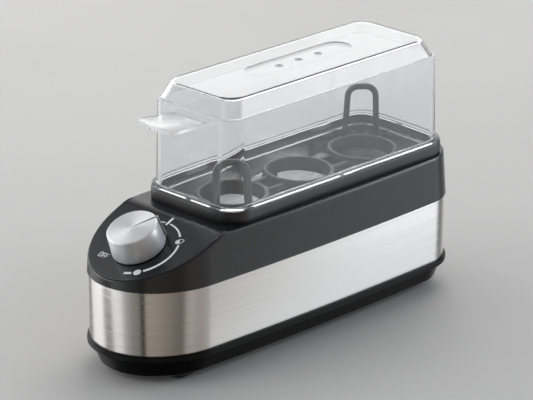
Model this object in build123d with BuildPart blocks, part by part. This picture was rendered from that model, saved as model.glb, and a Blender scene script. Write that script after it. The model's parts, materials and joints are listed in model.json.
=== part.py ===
from build123d import *
import os
from math import cos, radians, sin, tan

os.makedirs("parts", exist_ok=True)

# Electric egg cooker for three eggs, in millimetres, +Z up, control knob towards -Y.
# The origin is under the middle of the body, on the surface that it stands on.

# Body seen from above: rounded nose, slightly bowed sides, rounded rear corners
body_length = 220.7
body_half_width = 34.97
nose_radius = 32.0
nose_turn = 45.0
side_slope = 2.3
rear_corner = 24.0

# Heights of the stacked shells
foot_height = 4.0
skirt_height = 9.0
flange_height = 3.3
band_height = 33.45
housing_height = 23.9

# Base moulding
base_wall = 2.2
base_draft = 18.4
skirt_top_inset = 1.4
flange_overhang = 1.3
rim_width = 2.4
tab_height = 3.0
tab_width = 8.0
tab_thickness = 1.6
tab_fit = 0.15
vent_count = 7
vent_pitch = 5.0
vent_length = 22.0
vent_width = 2.2
vent_rear_margin = 65.35

# Rubber feet
foot_width = 13.0
foot_x = 18.0
foot_front_margin = 31.35
foot_rear_margin = 26.35

# Brushed steel band
band_thickness = 0.6

# Cord gland in the back of the band
gland_z = 31.0
gland_bore_radius = 3.3
gland_neck_width = 9.6
gland_neck_fit = 0.05
gland_neck_length = 4.6
gland_flange_width = 14.0
gland_flange_corner = 3.0
gland_flange_thickness = 1.2

# Upper housing with its sloping control panel
housing_wall = 2.4
housing_overhang = 0.8
housing_draft = 3.8
panel_angle = 22.42
panel_front_height = 4.75
panel_blend = 14.0

# Posts of the housing, pushed into sockets of the base, that hold the two together over the band
front_post_margin = 44.35
rear_post_margin = 9.35
rear_post_x = 14.0
post_width = 6.0
socket_wall = 1.5
socket_fit = 0.1
socket_top = 24.0

# Cooking well: collar, seal and dish share one rounded rectangle
well_half_width = 32.4
well_front_margin = 53.65
well_rear_margin = 7.75
well_corner = 13.0
collar_height = 6.35
collar_wall = 3.4
collar_foot_inset = 0.8
collar_foot_width = 1.0
collar_shadow_gap = 0.6
hook_width = 8.0
hook_depth = 1.4
hook_fit = 0.15
hook_end_margin = 29.65
hook_count = 3
seal_thickness = 0.8
seal_inset = 2.0
seal_width = 2.2
dish_thickness = 0.6
dish_inset = 4.8
dish_depth = 12.65
dish_fit = 0.4

# Heater under the dish
spreader_half_width = 20.0
spreader_end_margin = 23.65
spreader_thickness = 2.0
element_width = 7.0
element_height = 6.0
element_half_span = 15.0
element_front_margin = 9.05
element_rear_margin = 6.95
element_bend = 14.0
braze_gap = 0.1
sensor_half_length = 9.5
sensor_width = 14.0
sensor_height = 7.0
clip_thickness = 0.8
clip_width = 7.0
clip_foot = 5.0
clip_side_gap = 1.2
fuse_radius = 2.2
fuse_length = 16.0
fuse_step = 7.0

# Control board in the base
board_z = 20.0
board_thickness = 1.6
board_half_width = 24.0
board_front_reach = 34.0
board_rear_reach = 36.0
board_post_inset = 4.5
board_post_width = 6.0
board_peg_width = 2.4
board_peg_fit = 0.15
board_peg_height = 1.4
relay_width = 15.0
relay_length = 19.0
relay_height = 15.5
relay_x = -9.0
relay_step = 20.0
capacitor_width = 18.0
capacitor_length = 8.5
capacitor_height = 14.5
capacitor_x = 6.0
capacitor_step = 19.0
block_bevel = 0.6
buzzer_width = 11.0
buzzer_height = 8.0
buzzer_x = 12.0
terminal_width = 40.0
terminal_depth = 9.0
terminal_height = 10.0
lead_width = 4.0
lead_thickness = 1.2
lead_fit = 0.15
lead_grip = 6.0

# Rotary control and its knob, on the panel's own plane
knob_margin = 22.6
knob_gap = 0.6
knob_height = 12.2
knob_radius = 13.4
knob_wall = 1.0
pointer_angle = 62.5
pointer_width = 1.1
pointer_groove_depth = 0.6
pointer_recess = 0.25
pointer_rib = 0.9
pointer_start = 0.8
control_width = 21.0
control_depth = 13.0
bush_radius = 4.5
bush_height = 4.0
bush_fit = 0.1
shaft_radius = 3.0
shaft_running_fit = 0.05
shaft_flat = 0.8
shaft_sink = 9.8
shaft_reach = 10.6
shaft_end_gap = 0.2
tag_count = 3
tag_pitch = 5.0
tag_width = 2.4
tag_thickness = 0.8
tag_length = 5.0
nut_across_flats = 11.0
nut_height = 2.8
thread_fit = 0.05
core_hub_width = 10.4
core_fit = 0.02
core_hub_gap = 0.6

# Egg rack
egg_row_margin = 18.3
egg_count = 3
cup_radius = 16.0
cup_wall = 2.2
cup_bottom_rise = 4.6
cup_top_rise = 12.6
rack_leg_width = 4.0
rack_leg_thickness = 1.8
web_x = 6.0
web_width = 2.4
web_bottom_rise = 5.6
web_top_rise = 10.6
loop_reach = 25.0
loop_top_rise = 39.6
loop_top_width = 17.4
loop_foot_width = 20.0
loop_bar = 3.2
loop_corner = 5.6
loop_tray_half_width = 10.0
loop_tray_rise = 5.1
loop_tray_thickness = 3.0
loop_tray_corner = 2.5

# Clear lid
lid_flange_inset = 0.3
lid_flange_thickness = 1.6
lid_inset = 3.2
lid_wall = 1.8
lid_wall_height = 45.8
lid_chamfer_angle = 30.0
lid_chamfer_height = 9.3
lid_corner = 10.0
lid_key_fit = 0.4
lid_key_width = 1.8
lid_key_length = 14.0
lid_key_depth = 2.2
lid_key_end_margin = 34.65
recess_length = 70.0
recess_width = 16.0
recess_depth = 0.8
steam_hole_count = 3
steam_hole_pitch = 14.0
steam_hole_radius = 2.2
grip_length = 25.6
grip_root_half_width = 11.0
grip_end_half_width = 14.2
grip_bulge = 2.2
grip_corner = 5.0
grip_thickness = 2.0
grip_drop = 3.6
grip_tilt = 4.0

# Levels and places that follow from the values above
flange_z = foot_height + skirt_height
band_z = flange_z + flange_height
band_top = band_z + band_height
deck_z = band_top + housing_height
base_floor_z = foot_height + base_wall
nose_tip_y = -body_length / 2
rear_y = body_length / 2
well_length = body_length - well_front_margin - well_rear_margin
well_y = (nose_tip_y + well_front_margin + rear_y - well_rear_margin) / 2
knob_y = nose_tip_y + knob_margin
front_post_y = nose_tip_y + front_post_margin
rear_post_y = rear_y - rear_post_margin
vent_y = rear_y - vent_rear_margin
side_turn = radians(side_slope)
nose_reach = sin(radians(nose_turn))
shoulder_radius = (body_half_width - nose_radius * nose_reach) / (cos(side_turn) - nose_reach)
panel_slope = tan(radians(panel_angle))
panel_front_z = band_top + panel_front_height
knob_z = panel_front_z + panel_slope * (knob_y - nose_tip_y)
collar_top = deck_z + collar_height
dish_flange_z = deck_z + seal_thickness
dish_rim_z = dish_flange_z + dish_thickness
dish_floor_z = dish_rim_z - dish_depth
spreader_z = dish_floor_z - dish_thickness - spreader_thickness
spreader_length = well_length - 2 * spreader_end_margin
element_front_y = well_y - spreader_length / 2 + element_front_margin
element_rear_y = well_y + spreader_length / 2 - element_rear_margin
fuse_y = element_front_y + fuse_step
board_top = board_z + board_thickness
board_front_y = element_front_y - board_front_reach
board_rear_y = element_front_y + board_rear_reach
relay_place = (relay_x, element_front_y + relay_step)
buzzer_place = (buzzer_x, element_front_y + relay_step)
capacitor_place = (capacitor_x, element_front_y - capacitor_step)
egg_pitch = (well_length - egg_row_margin) / egg_count
egg_places = [well_y + egg_pitch * (i - (egg_count - 1) / 2) for i in range(egg_count)]
foot_rows = (nose_tip_y + foot_front_margin, rear_y - foot_rear_margin)
foot_places = [(x, y) for y in foot_rows for x in (-foot_x, foot_x)]
post_places = [(0, front_post_y), (-rear_post_x, rear_post_y), (rear_post_x, rear_post_y)]
gland_hole_width = gland_neck_width + 2 * gland_neck_fit
socket_width = post_width + 2 * socket_fit
socket_outer_width = socket_width + 2 * socket_wall
board_middle_y = (board_front_y + board_rear_y) / 2
board_length = board_rear_y - board_front_y
board_post_pitch_x = 2 * (board_half_width - board_post_inset)
board_post_pitch_y = board_length - 2 * board_post_inset
hook_pitch = (well_length - 2 * hook_end_margin) / (hook_count - 1)
hook_places = [well_y + hook_pitch * (i - (hook_count - 1) / 2) for i in range(hook_count)]
hook_outer_x = well_half_width - collar_foot_inset
hook_inner_x = hook_outer_x - collar_foot_width
hook_catch_z = deck_z - housing_wall - hook_fit
hook_bottom_z = hook_catch_z - hook_depth
element_z = spreader_z - braze_gap
lead_foot_z = board_top + terminal_height - lead_grip
lead_top_z = element_z - element_height
board_hole_width = board_peg_width + 2 * board_peg_fit
element_outer = element_half_span + element_width / 2
element_inner = element_half_span - element_width / 2
lead_places = [(-element_half_span, element_front_y), (element_half_span, element_front_y)]
knob_top = knob_gap + knob_height
groove_z = knob_top - pointer_groove_depth
hub_bottom = bush_height + core_hub_gap
hub_top = knob_top - knob_wall
cup_bottom_z = dish_floor_z + cup_bottom_rise
cup_top_z = dish_floor_z + cup_top_rise
rack_leg_x = cup_radius + cup_wall / 2
web_length = egg_pitch - 2 * cup_radius - cup_wall
loop_foot_half = (loop_foot_width - loop_bar) / 2
loop_top_half = (loop_top_width - loop_bar) / 2
loop_foot_rise = loop_tray_rise + loop_tray_thickness / 2
loop_tray_start = cup_radius + cup_wall / 4
loop_tray_length = loop_reach + loop_bar / 2 - loop_tray_start
loop_tray_middle = loop_tray_start + loop_tray_length / 2
lid_shoulder_z = collar_top + lid_wall_height
lid_top_z = lid_shoulder_z + lid_chamfer_height
lid_front_y = well_y - well_length / 2 + lid_inset
lid_key_pitch = well_length - 2 * lid_key_end_margin
lid_key_x = well_half_width - collar_wall - lid_key_fit - lid_key_width / 2
grip_z = lid_shoulder_z - grip_drop

# The panel's plane at the knob: X across, Y up the slope, Z out of the panel
panel_normal = (0, -sin(radians(panel_angle)), cos(radians(panel_angle)))
panel_plane = Plane(origin=(0, knob_y, knob_z), x_dir=(1, 0, 0), z_dir=panel_normal)
knob_axis = Axis(panel_plane.origin, panel_plane.z_dir)
knob_section_plane = Plane(panel_plane.origin, x_dir=panel_plane.x_dir, z_dir=-panel_plane.y_dir)

# A section through the knob along its pointer, and the top of the lid's grip
pointer_dir = panel_plane.x_dir.rotate(Axis((0, 0, 0), panel_plane.z_dir), pointer_angle)
pointer_plane = Plane(panel_plane.origin, x_dir=pointer_dir, z_dir=pointer_dir.cross(panel_plane.z_dir))
grip_normal = (0, sin(radians(grip_tilt)), cos(radians(grip_tilt)))
grip_plane = Plane((0, lid_front_y, grip_z), x_dir=(1, 0, 0), z_dir=grip_normal)


# Half outline of the body, grown outwards by a given amount: nose, shoulder, bowed side and rear corner
def half_outline(grow):
    private = Mode.PRIVATE
    corner_radius = rear_corner + grow
    side_end_y = rear_y + grow - corner_radius * (1 - sin(side_turn))
    nose = JernArc((0, nose_tip_y - grow), (1, 0), nose_radius + grow, nose_turn, mode=private)
    shoulder_turn = 90 - side_slope - nose_turn
    shoulder = JernArc(nose @ 1, nose % 1, shoulder_radius + grow, shoulder_turn, mode=private)
    side_end = ((shoulder @ 1).X, side_end_y)
    side = TangentArc(shoulder @ 1, side_end, tangent=shoulder % 1, mode=private)
    corner = JernArc(side @ 1, side % 1, corner_radius, 90 - side_slope, mode=private)
    return nose, shoulder, side, corner


# Outer outline of a shell
def body_outline(grow=0.0):
    with BuildSketch() as outline:
        with BuildLine():
            curves = half_outline(grow)
            add(curves)
            Line(curves[-1] @ 1, (0, rear_y + grow))
            mirror(about=Plane.YZ)
        make_face()
    return outline.sketch_local


# Inner outline of a shell, in flats whose corners keep the wall's thickness from the outer outline
def cavity_outline(grow):
    with BuildSketch() as outline:
        with BuildLine():
            nose, shoulder, side, corner = half_outline(grow)
            Polyline(
                (0, nose_tip_y - grow),
                nose @ 1,
                shoulder @ 1,
                side @ 0.5,
                side @ 1,
                corner @ 0.5,
                corner @ 1,
                (0, rear_y + grow),
            )
            mirror(about=Plane.YZ)
        make_face()
    return outline.sketch_local


# Small blocks that stand inside the band at its sides and its back and keep it in place
def band_tabs():
    with BuildSketch() as tabs:
        with BuildLine(mode=Mode.PRIVATE):
            side_middle = half_outline(-band_thickness - tab_fit)[2] @ 0.5
        with Locations((side_middle.X, side_middle.Y), (-side_middle.X, side_middle.Y)):
            Rectangle(2 * tab_thickness, tab_width)
        with Locations((0, rear_y - band_thickness - tab_fit)):
            Rectangle(tab_width, 2 * tab_thickness)
        add(body_outline(-band_thickness - tab_fit), mode=Mode.INTERSECT)
    return tabs.sketch_local


# Rounded rectangle of the cooking well, drawn in by a given amount
def well_outline(inset, corner=None):
    radius = well_corner - inset if corner is None else corner
    with BuildSketch() as outline:
        with Locations((0, well_y)):
            RectangleRounded(2 * (well_half_width - inset), well_length - 2 * inset, radius)
    return outline.sketch_local


# Side view of the housing: level deck, blended into the sloping panel; drop lowers both surfaces
def housing_side_view(drop=0.0):
    far = body_length
    panel_drop = drop / cos(radians(panel_angle))
    knee_z = deck_z - drop
    knee_y = nose_tip_y + (knee_z - panel_front_z + panel_drop) / panel_slope
    front_z = knee_z - panel_slope * far
    with BuildSketch(Plane.YZ) as view:
        with BuildLine():
            Polyline((knee_y - far, front_z), (knee_y, knee_z), (far, knee_z), (far, front_z), close=True)
        make_face()
        knee = view.vertices().sort_by_distance((knee_y, knee_z))[0]
        fillet(knee, radius=panel_blend - drop)
    return view.sketch


# Strap bent like a hat, that holds a part of the given half length and depth under the spreader
def hat_strap(middle_y, half_length, depth):
    inner = half_length + clip_side_gap
    outer = inner + clip_thickness
    with BuildSketch() as strap:
        with Locations((middle_y, spreader_z)):
            Rectangle(2 * outer, depth + clip_thickness, align=(Align.CENTER, Align.MAX))
            Rectangle(2 * (outer + clip_foot), clip_thickness, align=(Align.CENTER, Align.MAX))
            Rectangle(2 * inner, depth, align=(Align.CENTER, Align.MAX), mode=Mode.SUBTRACT)
    return strap.sketch_local


# Base moulding: tapered skirt, flange under the band, tabs inside the band, sockets, board posts and vents
with BuildPart() as base_shell:
    with BuildSketch(Plane.XY.offset(flange_z)):
        add(body_outline(-skirt_top_inset))
    extrude(amount=skirt_height, dir=(0, 0, -1), taper=base_draft)
    with BuildSketch(Plane.XY.offset(flange_z)):
        add(body_outline(flange_overhang))
    extrude(amount=flange_height)
    with BuildSketch(Plane.XY.offset(band_z)):
        add(cavity_outline(-rim_width))
    extrude(amount=band_z - base_floor_z, dir=(0, 0, -1), taper=base_draft, mode=Mode.SUBTRACT)
    with BuildSketch(Plane.XY.offset(band_z - tab_height)):
        add(band_tabs())
    extrude(amount=2 * tab_height)
    with BuildSketch(Plane.XY.offset(foot_height)):
        with Locations(*post_places):
            Rectangle(socket_outer_width, socket_outer_width)
    extrude(amount=socket_top - foot_height)
    with BuildSketch(Plane.XY.offset(base_floor_z)):
        with Locations(*post_places):
            Rectangle(socket_width, socket_width)
    extrude(amount=socket_top - base_floor_z, mode=Mode.SUBTRACT)
    with BuildSketch(Plane.XY.offset(foot_height)):
        with Locations((0, board_middle_y)):
            with GridLocations(board_post_pitch_x, board_post_pitch_y, 2, 2):
                Rectangle(board_post_width, board_post_width)
    extrude(amount=board_z - foot_height)
    with BuildSketch(Plane.XY.offset(board_z)):
        with Locations((0, board_middle_y)):
            with GridLocations(board_post_pitch_x, board_post_pitch_y, 2, 2):
                Rectangle(board_peg_width, board_peg_width)
    extrude(amount=board_thickness + board_peg_height)
    with BuildSketch(Plane.XY.offset(foot_height)):
        with Locations((0, vent_y)):
            with GridLocations(vent_pitch, vent_pitch, 1, vent_count):
                Rectangle(vent_length, vent_width)
    extrude(amount=base_wall, mode=Mode.SUBTRACT)
base_shell.part.label = "base_shell"
export_step(base_shell.part, "parts/base_shell.step")

# Four rubber feet under the base
with BuildPart() as rubber_feet:
    with BuildSketch(Plane.XY.offset(foot_height)):
        with Locations(*foot_places):
            Rectangle(foot_width, foot_width)
    extrude(amount=-foot_height)
rubber_feet.part.label = "rubber_feet"
export_step(rubber_feet.part, "parts/rubber_feet.step")

# Steel band, a closed strip that stands on the flange of the base
with BuildPart() as steel_band:
    with BuildSketch(Plane.XY.offset(band_z)):
        add(body_outline())
        add(body_outline(-band_thickness), mode=Mode.SUBTRACT)
    extrude(amount=band_height)
    with BuildSketch(Plane.XZ.offset(-rear_y)):
        with Locations((0, gland_z)):
            Rectangle(gland_hole_width, gland_hole_width)
    extrude(amount=2 * band_thickness, both=True, mode=Mode.SUBTRACT)
steel_band.part.label = "steel_band"
export_step(steel_band.part, "parts/steel_band.step")

# Cord gland: a rubber bush pushed into the hole in the band
with BuildPart() as cord_gland:
    with BuildSketch(Plane.XZ.offset(-rear_y)):
        with Locations((0, gland_z)):
            RectangleRounded(gland_flange_width, gland_flange_width, gland_flange_corner)
    extrude(amount=-gland_flange_thickness)
    with BuildSketch(Plane.XZ.offset(-rear_y)):
        with Locations((0, gland_z)):
            Rectangle(gland_neck_width, gland_neck_width)
    extrude(amount=gland_neck_length)
    with BuildSketch(Plane.XZ.offset(-rear_y - gland_flange_thickness)):
        with Locations((0, gland_z)):
            Circle(gland_bore_radius)
    extrude(amount=gland_flange_thickness + gland_neck_length, mode=Mode.SUBTRACT)
cord_gland.part.label = "cord_gland"
export_step(cord_gland.part, "parts/cord_gland.step")

# Inside of the housing, with its posts left standing in it
with BuildPart() as housing_cavity:
    with BuildSketch(Plane.XY.offset(band_top)):
        add(cavity_outline(housing_overhang - housing_wall))
    extrude(amount=housing_height, taper=housing_draft)
    extrude(housing_side_view(housing_wall), amount=body_length, both=True, mode=Mode.INTERSECT)
    with BuildSketch(Plane.XY.offset(band_top)):
        with Locations(*post_places):
            Rectangle(post_width, post_width)
    extrude(amount=housing_height, mode=Mode.SUBTRACT)

# Upper housing: drafted walls, sloping panel, deck with the well's opening, posts, tabs inside the band
with BuildPart() as upper_housing:
    with BuildSketch(Plane.XY.offset(band_top)):
        add(body_outline(housing_overhang))
    extrude(amount=housing_height, taper=housing_draft)
    extrude(housing_side_view(), amount=body_length, both=True, mode=Mode.INTERSECT)
    add(housing_cavity.part, mode=Mode.SUBTRACT)
    with BuildSketch(Plane.XY.offset(band_top + tab_height)):
        add(band_tabs())
    extrude(amount=-2 * tab_height)
    with BuildSketch(Plane.XY.offset(base_floor_z)):
        with Locations(*post_places):
            Rectangle(post_width, post_width)
    extrude(amount=band_top - base_floor_z)
    with BuildSketch(Plane.XY.offset(deck_z)):
        add(well_outline(dish_inset - dish_fit))
    extrude(amount=-2 * housing_wall, mode=Mode.SUBTRACT)
    with BuildSketch(Plane.XY.offset(deck_z)):
        for side in (-1, 1):
            with Locations(*[(side * (hook_outer_x + hook_inner_x) / 2, y) for y in hook_places]):
                Rectangle(collar_foot_width + 2 * hook_fit, hook_width + 2 * hook_fit)
    extrude(amount=-housing_wall, mode=Mode.SUBTRACT)
    with BuildSketch(panel_plane):
        Circle(bush_radius + bush_fit)
    extrude(amount=-2 * housing_wall, mode=Mode.SUBTRACT)
upper_housing.part.label = "upper_housing"
export_step(upper_housing.part, "parts/upper_housing.step")

# Collar round the well: a shadow gap above the deck, a rebate over the dish flange, hooks into the deck
with BuildPart() as rim_collar:
    with BuildSketch(Plane.XY.offset(deck_z + collar_shadow_gap)):
        add(well_outline(0))
    extrude(amount=collar_height - collar_shadow_gap)
    with BuildSketch(Plane.XY.offset(deck_z)):
        add(well_outline(collar_foot_inset))
    extrude(amount=collar_shadow_gap)
    with BuildSketch(Plane.XY.offset(deck_z)):
        add(well_outline(collar_foot_inset + collar_foot_width))
    extrude(amount=dish_rim_z - deck_z, mode=Mode.SUBTRACT)
    with BuildSketch(Plane.XY.offset(deck_z)):
        add(well_outline(collar_wall))
    extrude(amount=collar_height, mode=Mode.SUBTRACT)
    for side in (-1, 1):
        for hook_y in hook_places:
            with BuildSketch(Plane.XZ.offset(-hook_y)):
                with BuildLine():
                    Polyline(
                        (side * hook_outer_x, deck_z),
                        (side * hook_outer_x, hook_bottom_z),
                        (side * hook_inner_x, hook_bottom_z),
                        (side * (hook_inner_x - collar_foot_width), hook_catch_z),
                        (side * hook_inner_x, hook_catch_z),
                        (side * hook_inner_x, deck_z),
                        close=True,
                    )
                make_face()
            extrude(amount=hook_width / 2, both=True)
rim_collar.part.label = "rim_collar"
export_step(rim_collar.part, "parts/rim_collar.step")

# Silicone seal between the deck and the flange of the dish
with BuildPart() as dish_seal:
    with BuildSketch(Plane.XY.offset(deck_z)):
        add(well_outline(seal_inset))
        add(well_outline(seal_inset + seal_width), mode=Mode.SUBTRACT)
    extrude(amount=seal_thickness)
dish_seal.part.label = "dish_seal"
export_step(dish_seal.part, "parts/dish_seal.step")

# Bowl of the dish, drawn in by a given amount and with its floor raised by the same
def dish_bowl(inset):
    with BuildPart() as bowl:
        with BuildSketch(Plane.XY.offset(dish_rim_z)):
            add(well_outline(dish_inset + inset))
        extrude(amount=-(dish_depth + dish_thickness - inset))
    return bowl.part


# Stainless heating dish, a drawn tray with a flat flange
with BuildPart() as heating_dish:
    add(dish_bowl(0))
    with BuildSketch(Plane.XY.offset(dish_flange_z)):
        add(well_outline(seal_inset))
    extrude(amount=dish_thickness)
    add(dish_bowl(dish_thickness), mode=Mode.SUBTRACT)
heating_dish.part.label = "heating_dish"
export_step(heating_dish.part, "parts/heating_dish.step")

# Aluminium plate that spreads the heat under the dish
with BuildPart() as heat_spreader:
    with BuildSketch(Plane.XY.offset(spreader_z)):
        with Locations((0, well_y)):
            Rectangle(2 * spreader_half_width, spreader_length)
    extrude(amount=spreader_thickness)
heat_spreader.part.label = "heat_spreader"
export_step(heat_spreader.part, "parts/heat_spreader.step")

# Heating element, a flattened tube bent to a hairpin under the spreader
with BuildPart() as heating_element:
    with BuildSketch(Plane.XY.offset(element_z)) as hairpin:
        with BuildLine():
            FilletPolyline(
                (-element_outer, element_front_y),
                (-element_outer, element_rear_y + element_width / 2),
                (element_outer, element_rear_y + element_width / 2),
                (element_outer, element_front_y),
                radius=element_bend + element_width / 2,
            )
            Line((element_outer, element_front_y), (element_inner, element_front_y))
            FilletPolyline(
                (element_inner, element_front_y),
                (element_inner, element_rear_y - element_width / 2),
                (-element_inner, element_rear_y - element_width / 2),
                (-element_inner, element_front_y),
                radius=element_bend - element_width / 2,
            )
            Line((-element_inner, element_front_y), (-element_outer, element_front_y))
        make_face()
    extrude(amount=-element_height)
heating_element.part.label = "heating_element"
export_step(heating_element.part, "parts/heating_element.step")

# Temperature sensor in the middle of the heat spreader
with BuildPart() as temperature_sensor:
    with BuildSketch(Plane.XY.offset(spreader_z)):
        with Locations((0, well_y)):
            Rectangle(sensor_width, 2 * sensor_half_length)
    extrude(amount=-sensor_height)
temperature_sensor.part.label = "temperature_sensor"
export_step(temperature_sensor.part, "parts/temperature_sensor.step")

# Spring strap that presses the sensor against the spreader
with BuildPart() as sensor_clip:
    with BuildSketch(Plane.YZ):
        add(hat_strap(well_y, sensor_half_length, sensor_height))
    extrude(amount=clip_width / 2, both=True)
sensor_clip.part.label = "sensor_clip"
export_step(sensor_clip.part, "parts/sensor_clip.step")

# Thermal fuse, a small cartridge across the spreader
with BuildPart() as thermal_fuse:
    with BuildSketch(Plane.YZ):
        with Locations((fuse_y, spreader_z - fuse_radius)):
            Circle(fuse_radius)
    extrude(amount=fuse_length / 2, both=True)
thermal_fuse.part.label = "thermal_fuse"
export_step(thermal_fuse.part, "parts/thermal_fuse.step")

# Strap over the thermal fuse
with BuildPart() as fuse_clip:
    with BuildSketch(Plane.YZ):
        add(hat_strap(fuse_y, fuse_radius, 2 * fuse_radius))
    extrude(amount=clip_width / 2, both=True)
fuse_clip.part.label = "fuse_clip"
export_step(fuse_clip.part, "parts/fuse_clip.step")

# Control board on the four posts of the base
with BuildPart() as control_board:
    with BuildSketch(Plane.XY.offset(board_z)):
        with Locations((0, board_middle_y)):
            Rectangle(2 * board_half_width, board_length)
            with GridLocations(board_post_pitch_x, board_post_pitch_y, 2, 2):
                Rectangle(board_hole_width, board_hole_width, mode=Mode.SUBTRACT)
    extrude(amount=board_thickness)
control_board.part.label = "control_board"
export_step(control_board.part, "parts/control_board.step")

# Relay that switches the heating element
with BuildPart() as power_relay:
    with BuildSketch(Plane.XY.offset(board_top)):
        with Locations(relay_place):
            Rectangle(relay_width, relay_length)
    extrude(amount=relay_height)
    chamfer(power_relay.edges().group_by(Axis.Z)[-1], length=block_bevel)
power_relay.part.label = "power_relay"
export_step(power_relay.part, "parts/power_relay.step")

# Film capacitor of the board's supply
with BuildPart() as film_capacitor:
    with BuildSketch(Plane.XY.offset(board_top)):
        with Locations(capacitor_place):
            Rectangle(capacitor_width, capacitor_length)
    extrude(amount=capacitor_height)
    chamfer(film_capacitor.edges().group_by(Axis.Z)[-1], length=block_bevel)
film_capacitor.part.label = "film_capacitor"
export_step(film_capacitor.part, "parts/film_capacitor.step")

# Buzzer that sounds when the eggs are done
with BuildPart() as buzzer:
    with BuildSketch(Plane.XY.offset(board_top)):
        with Locations(buzzer_place):
            Rectangle(buzzer_width, buzzer_width)
    extrude(amount=buzzer_height)
buzzer.part.label = "buzzer"
export_step(buzzer.part, "parts/buzzer.step")

# Terminal block straight below the ends of the element
with BuildPart() as terminal_block:
    with BuildSketch(Plane.XY.offset(board_top)):
        with Locations((0, element_front_y)):
            Rectangle(terminal_width, terminal_depth)
    extrude(amount=terminal_height)
    with BuildSketch(Plane.XY.offset(board_top + terminal_height)):
        with Locations(*lead_places):
            Rectangle(lead_width + 2 * lead_fit, lead_thickness + 2 * lead_fit)
    extrude(amount=-lead_grip, mode=Mode.SUBTRACT)
terminal_block.part.label = "terminal_block"
export_step(terminal_block.part, "parts/terminal_block.step")

# Two flat strips that carry the current from the terminal block to the element
with BuildPart() as heater_leads:
    with BuildSketch(Plane.XY.offset(lead_foot_z)):
        with Locations(*lead_places):
            Rectangle(lead_width, lead_thickness)
    extrude(amount=lead_top_z - lead_foot_z)
heater_leads.part.label = "heater_leads"
export_step(heater_leads.part, "parts/heater_leads.step")

# Rotary control under the panel, with its threaded bush and solder tags
with BuildPart() as rotary_control:
    with BuildSketch(panel_plane.offset(-housing_wall)):
        Rectangle(control_width, control_width)
    extrude(amount=-control_depth)
    with BuildSketch(panel_plane.offset(-housing_wall)):
        Circle(bush_radius)
    extrude(amount=housing_wall + bush_height)
    with BuildSketch(panel_plane.offset(bush_height)):
        Circle(shaft_radius + shaft_running_fit)
    extrude(amount=-(bush_height + shaft_sink + shaft_end_gap), mode=Mode.SUBTRACT)
    with BuildSketch(panel_plane.offset(-housing_wall - control_depth)):
        with GridLocations(tag_pitch, tag_pitch, tag_count, 1):
            Rectangle(tag_width, tag_thickness)
    extrude(amount=-tag_length)
rotary_control.part.label = "rotary_control"
export_step(rotary_control.part, "parts/rotary_control.step")

# Nut that clamps the control to the panel, hidden by the knob
with BuildPart() as control_nut:
    with BuildSketch(panel_plane):
        RegularPolygon(nut_across_flats / 2, 6, major_radius=False)
        Circle(bush_radius + thread_fit, mode=Mode.SUBTRACT)
    extrude(amount=nut_height)
control_nut.part.label = "control_nut"
export_step(control_nut.part, "parts/control_nut.step")

# Shaft of the control, with a flat where the knob sits
with BuildPart() as control_shaft:
    with BuildSketch(panel_plane.offset(-shaft_sink)):
        Circle(shaft_radius)
    extrude(amount=shaft_sink + shaft_reach)
    with BuildSketch(panel_plane.offset(hub_bottom)):
        with Locations((0, shaft_radius)):
            Rectangle(2 * shaft_radius, 2 * shaft_flat)
    extrude(amount=shaft_reach - hub_bottom, mode=Mode.SUBTRACT)
control_shaft.part.label = "control_shaft"
export_step(control_shaft.part, "parts/control_shaft.step")

# Knob shell: an aluminium cup with a groove for the pointer
with BuildPart() as knob_shell:
    with BuildSketch(knob_section_plane):
        with BuildLine():
            Polyline(
                (0, knob_top),
                (knob_radius, knob_top),
                (knob_radius, knob_gap),
                (knob_radius - knob_wall, knob_gap),
                (knob_radius - knob_wall, knob_top - knob_wall),
                (0, knob_top - knob_wall),
                close=True,
            )
        make_face()
    revolve(axis=knob_axis)
    with BuildSketch(pointer_plane):
        with BuildLine():
            Polyline(
                (pointer_start, groove_z),
                (knob_radius - pointer_groove_depth, groove_z),
                (knob_radius - pointer_groove_depth, knob_gap),
                (2 * knob_radius, knob_gap),
                (2 * knob_radius, 2 * knob_top),
                (pointer_start, 2 * knob_top),
                close=True,
            )
        make_face()
    extrude(amount=pointer_width / 2, both=True, mode=Mode.SUBTRACT)
knob_shell.part.label = "knob_shell"
export_step(knob_shell.part, "parts/knob_shell.step")

# Pointer: a dark inlay in the top that runs over the rim as a rib down the side
with BuildPart() as knob_pointer:
    with BuildSketch(pointer_plane):
        with BuildLine():
            Polyline(
                (pointer_start, groove_z),
                (knob_radius - pointer_groove_depth, groove_z),
                (knob_radius - pointer_groove_depth, knob_gap),
                (knob_radius + pointer_rib, knob_gap),
                (knob_radius + pointer_rib / 2, knob_top),
                (knob_radius - pointer_groove_depth, knob_top),
                (knob_radius - pointer_rib - pointer_groove_depth, knob_top - pointer_recess),
                (pointer_start, knob_top - pointer_recess),
                close=True,
            )
        make_face()
    extrude(amount=pointer_width / 2, both=True)
knob_pointer.part.label = "knob_pointer"
export_step(knob_pointer.part, "parts/knob_pointer.step")

# Plastic hub inside the shell, that sits on the shaft
with BuildPart() as knob_core:
    with BuildSketch(panel_plane.offset(hub_bottom)):
        RegularPolygon(core_hub_width / 2, 6, major_radius=False)
    extrude(amount=hub_top - hub_bottom)
    with BuildSketch(panel_plane.offset(hub_bottom)):
        Circle(shaft_radius + core_fit)
        with Locations((0, shaft_radius)):
            Rectangle(4 * shaft_radius, 2 * (shaft_flat - core_fit), mode=Mode.SUBTRACT)
    extrude(amount=shaft_reach - hub_bottom + shaft_end_gap, mode=Mode.SUBTRACT)
knob_core.part.label = "knob_core"
export_step(knob_core.part, "parts/knob_core.step")

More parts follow.
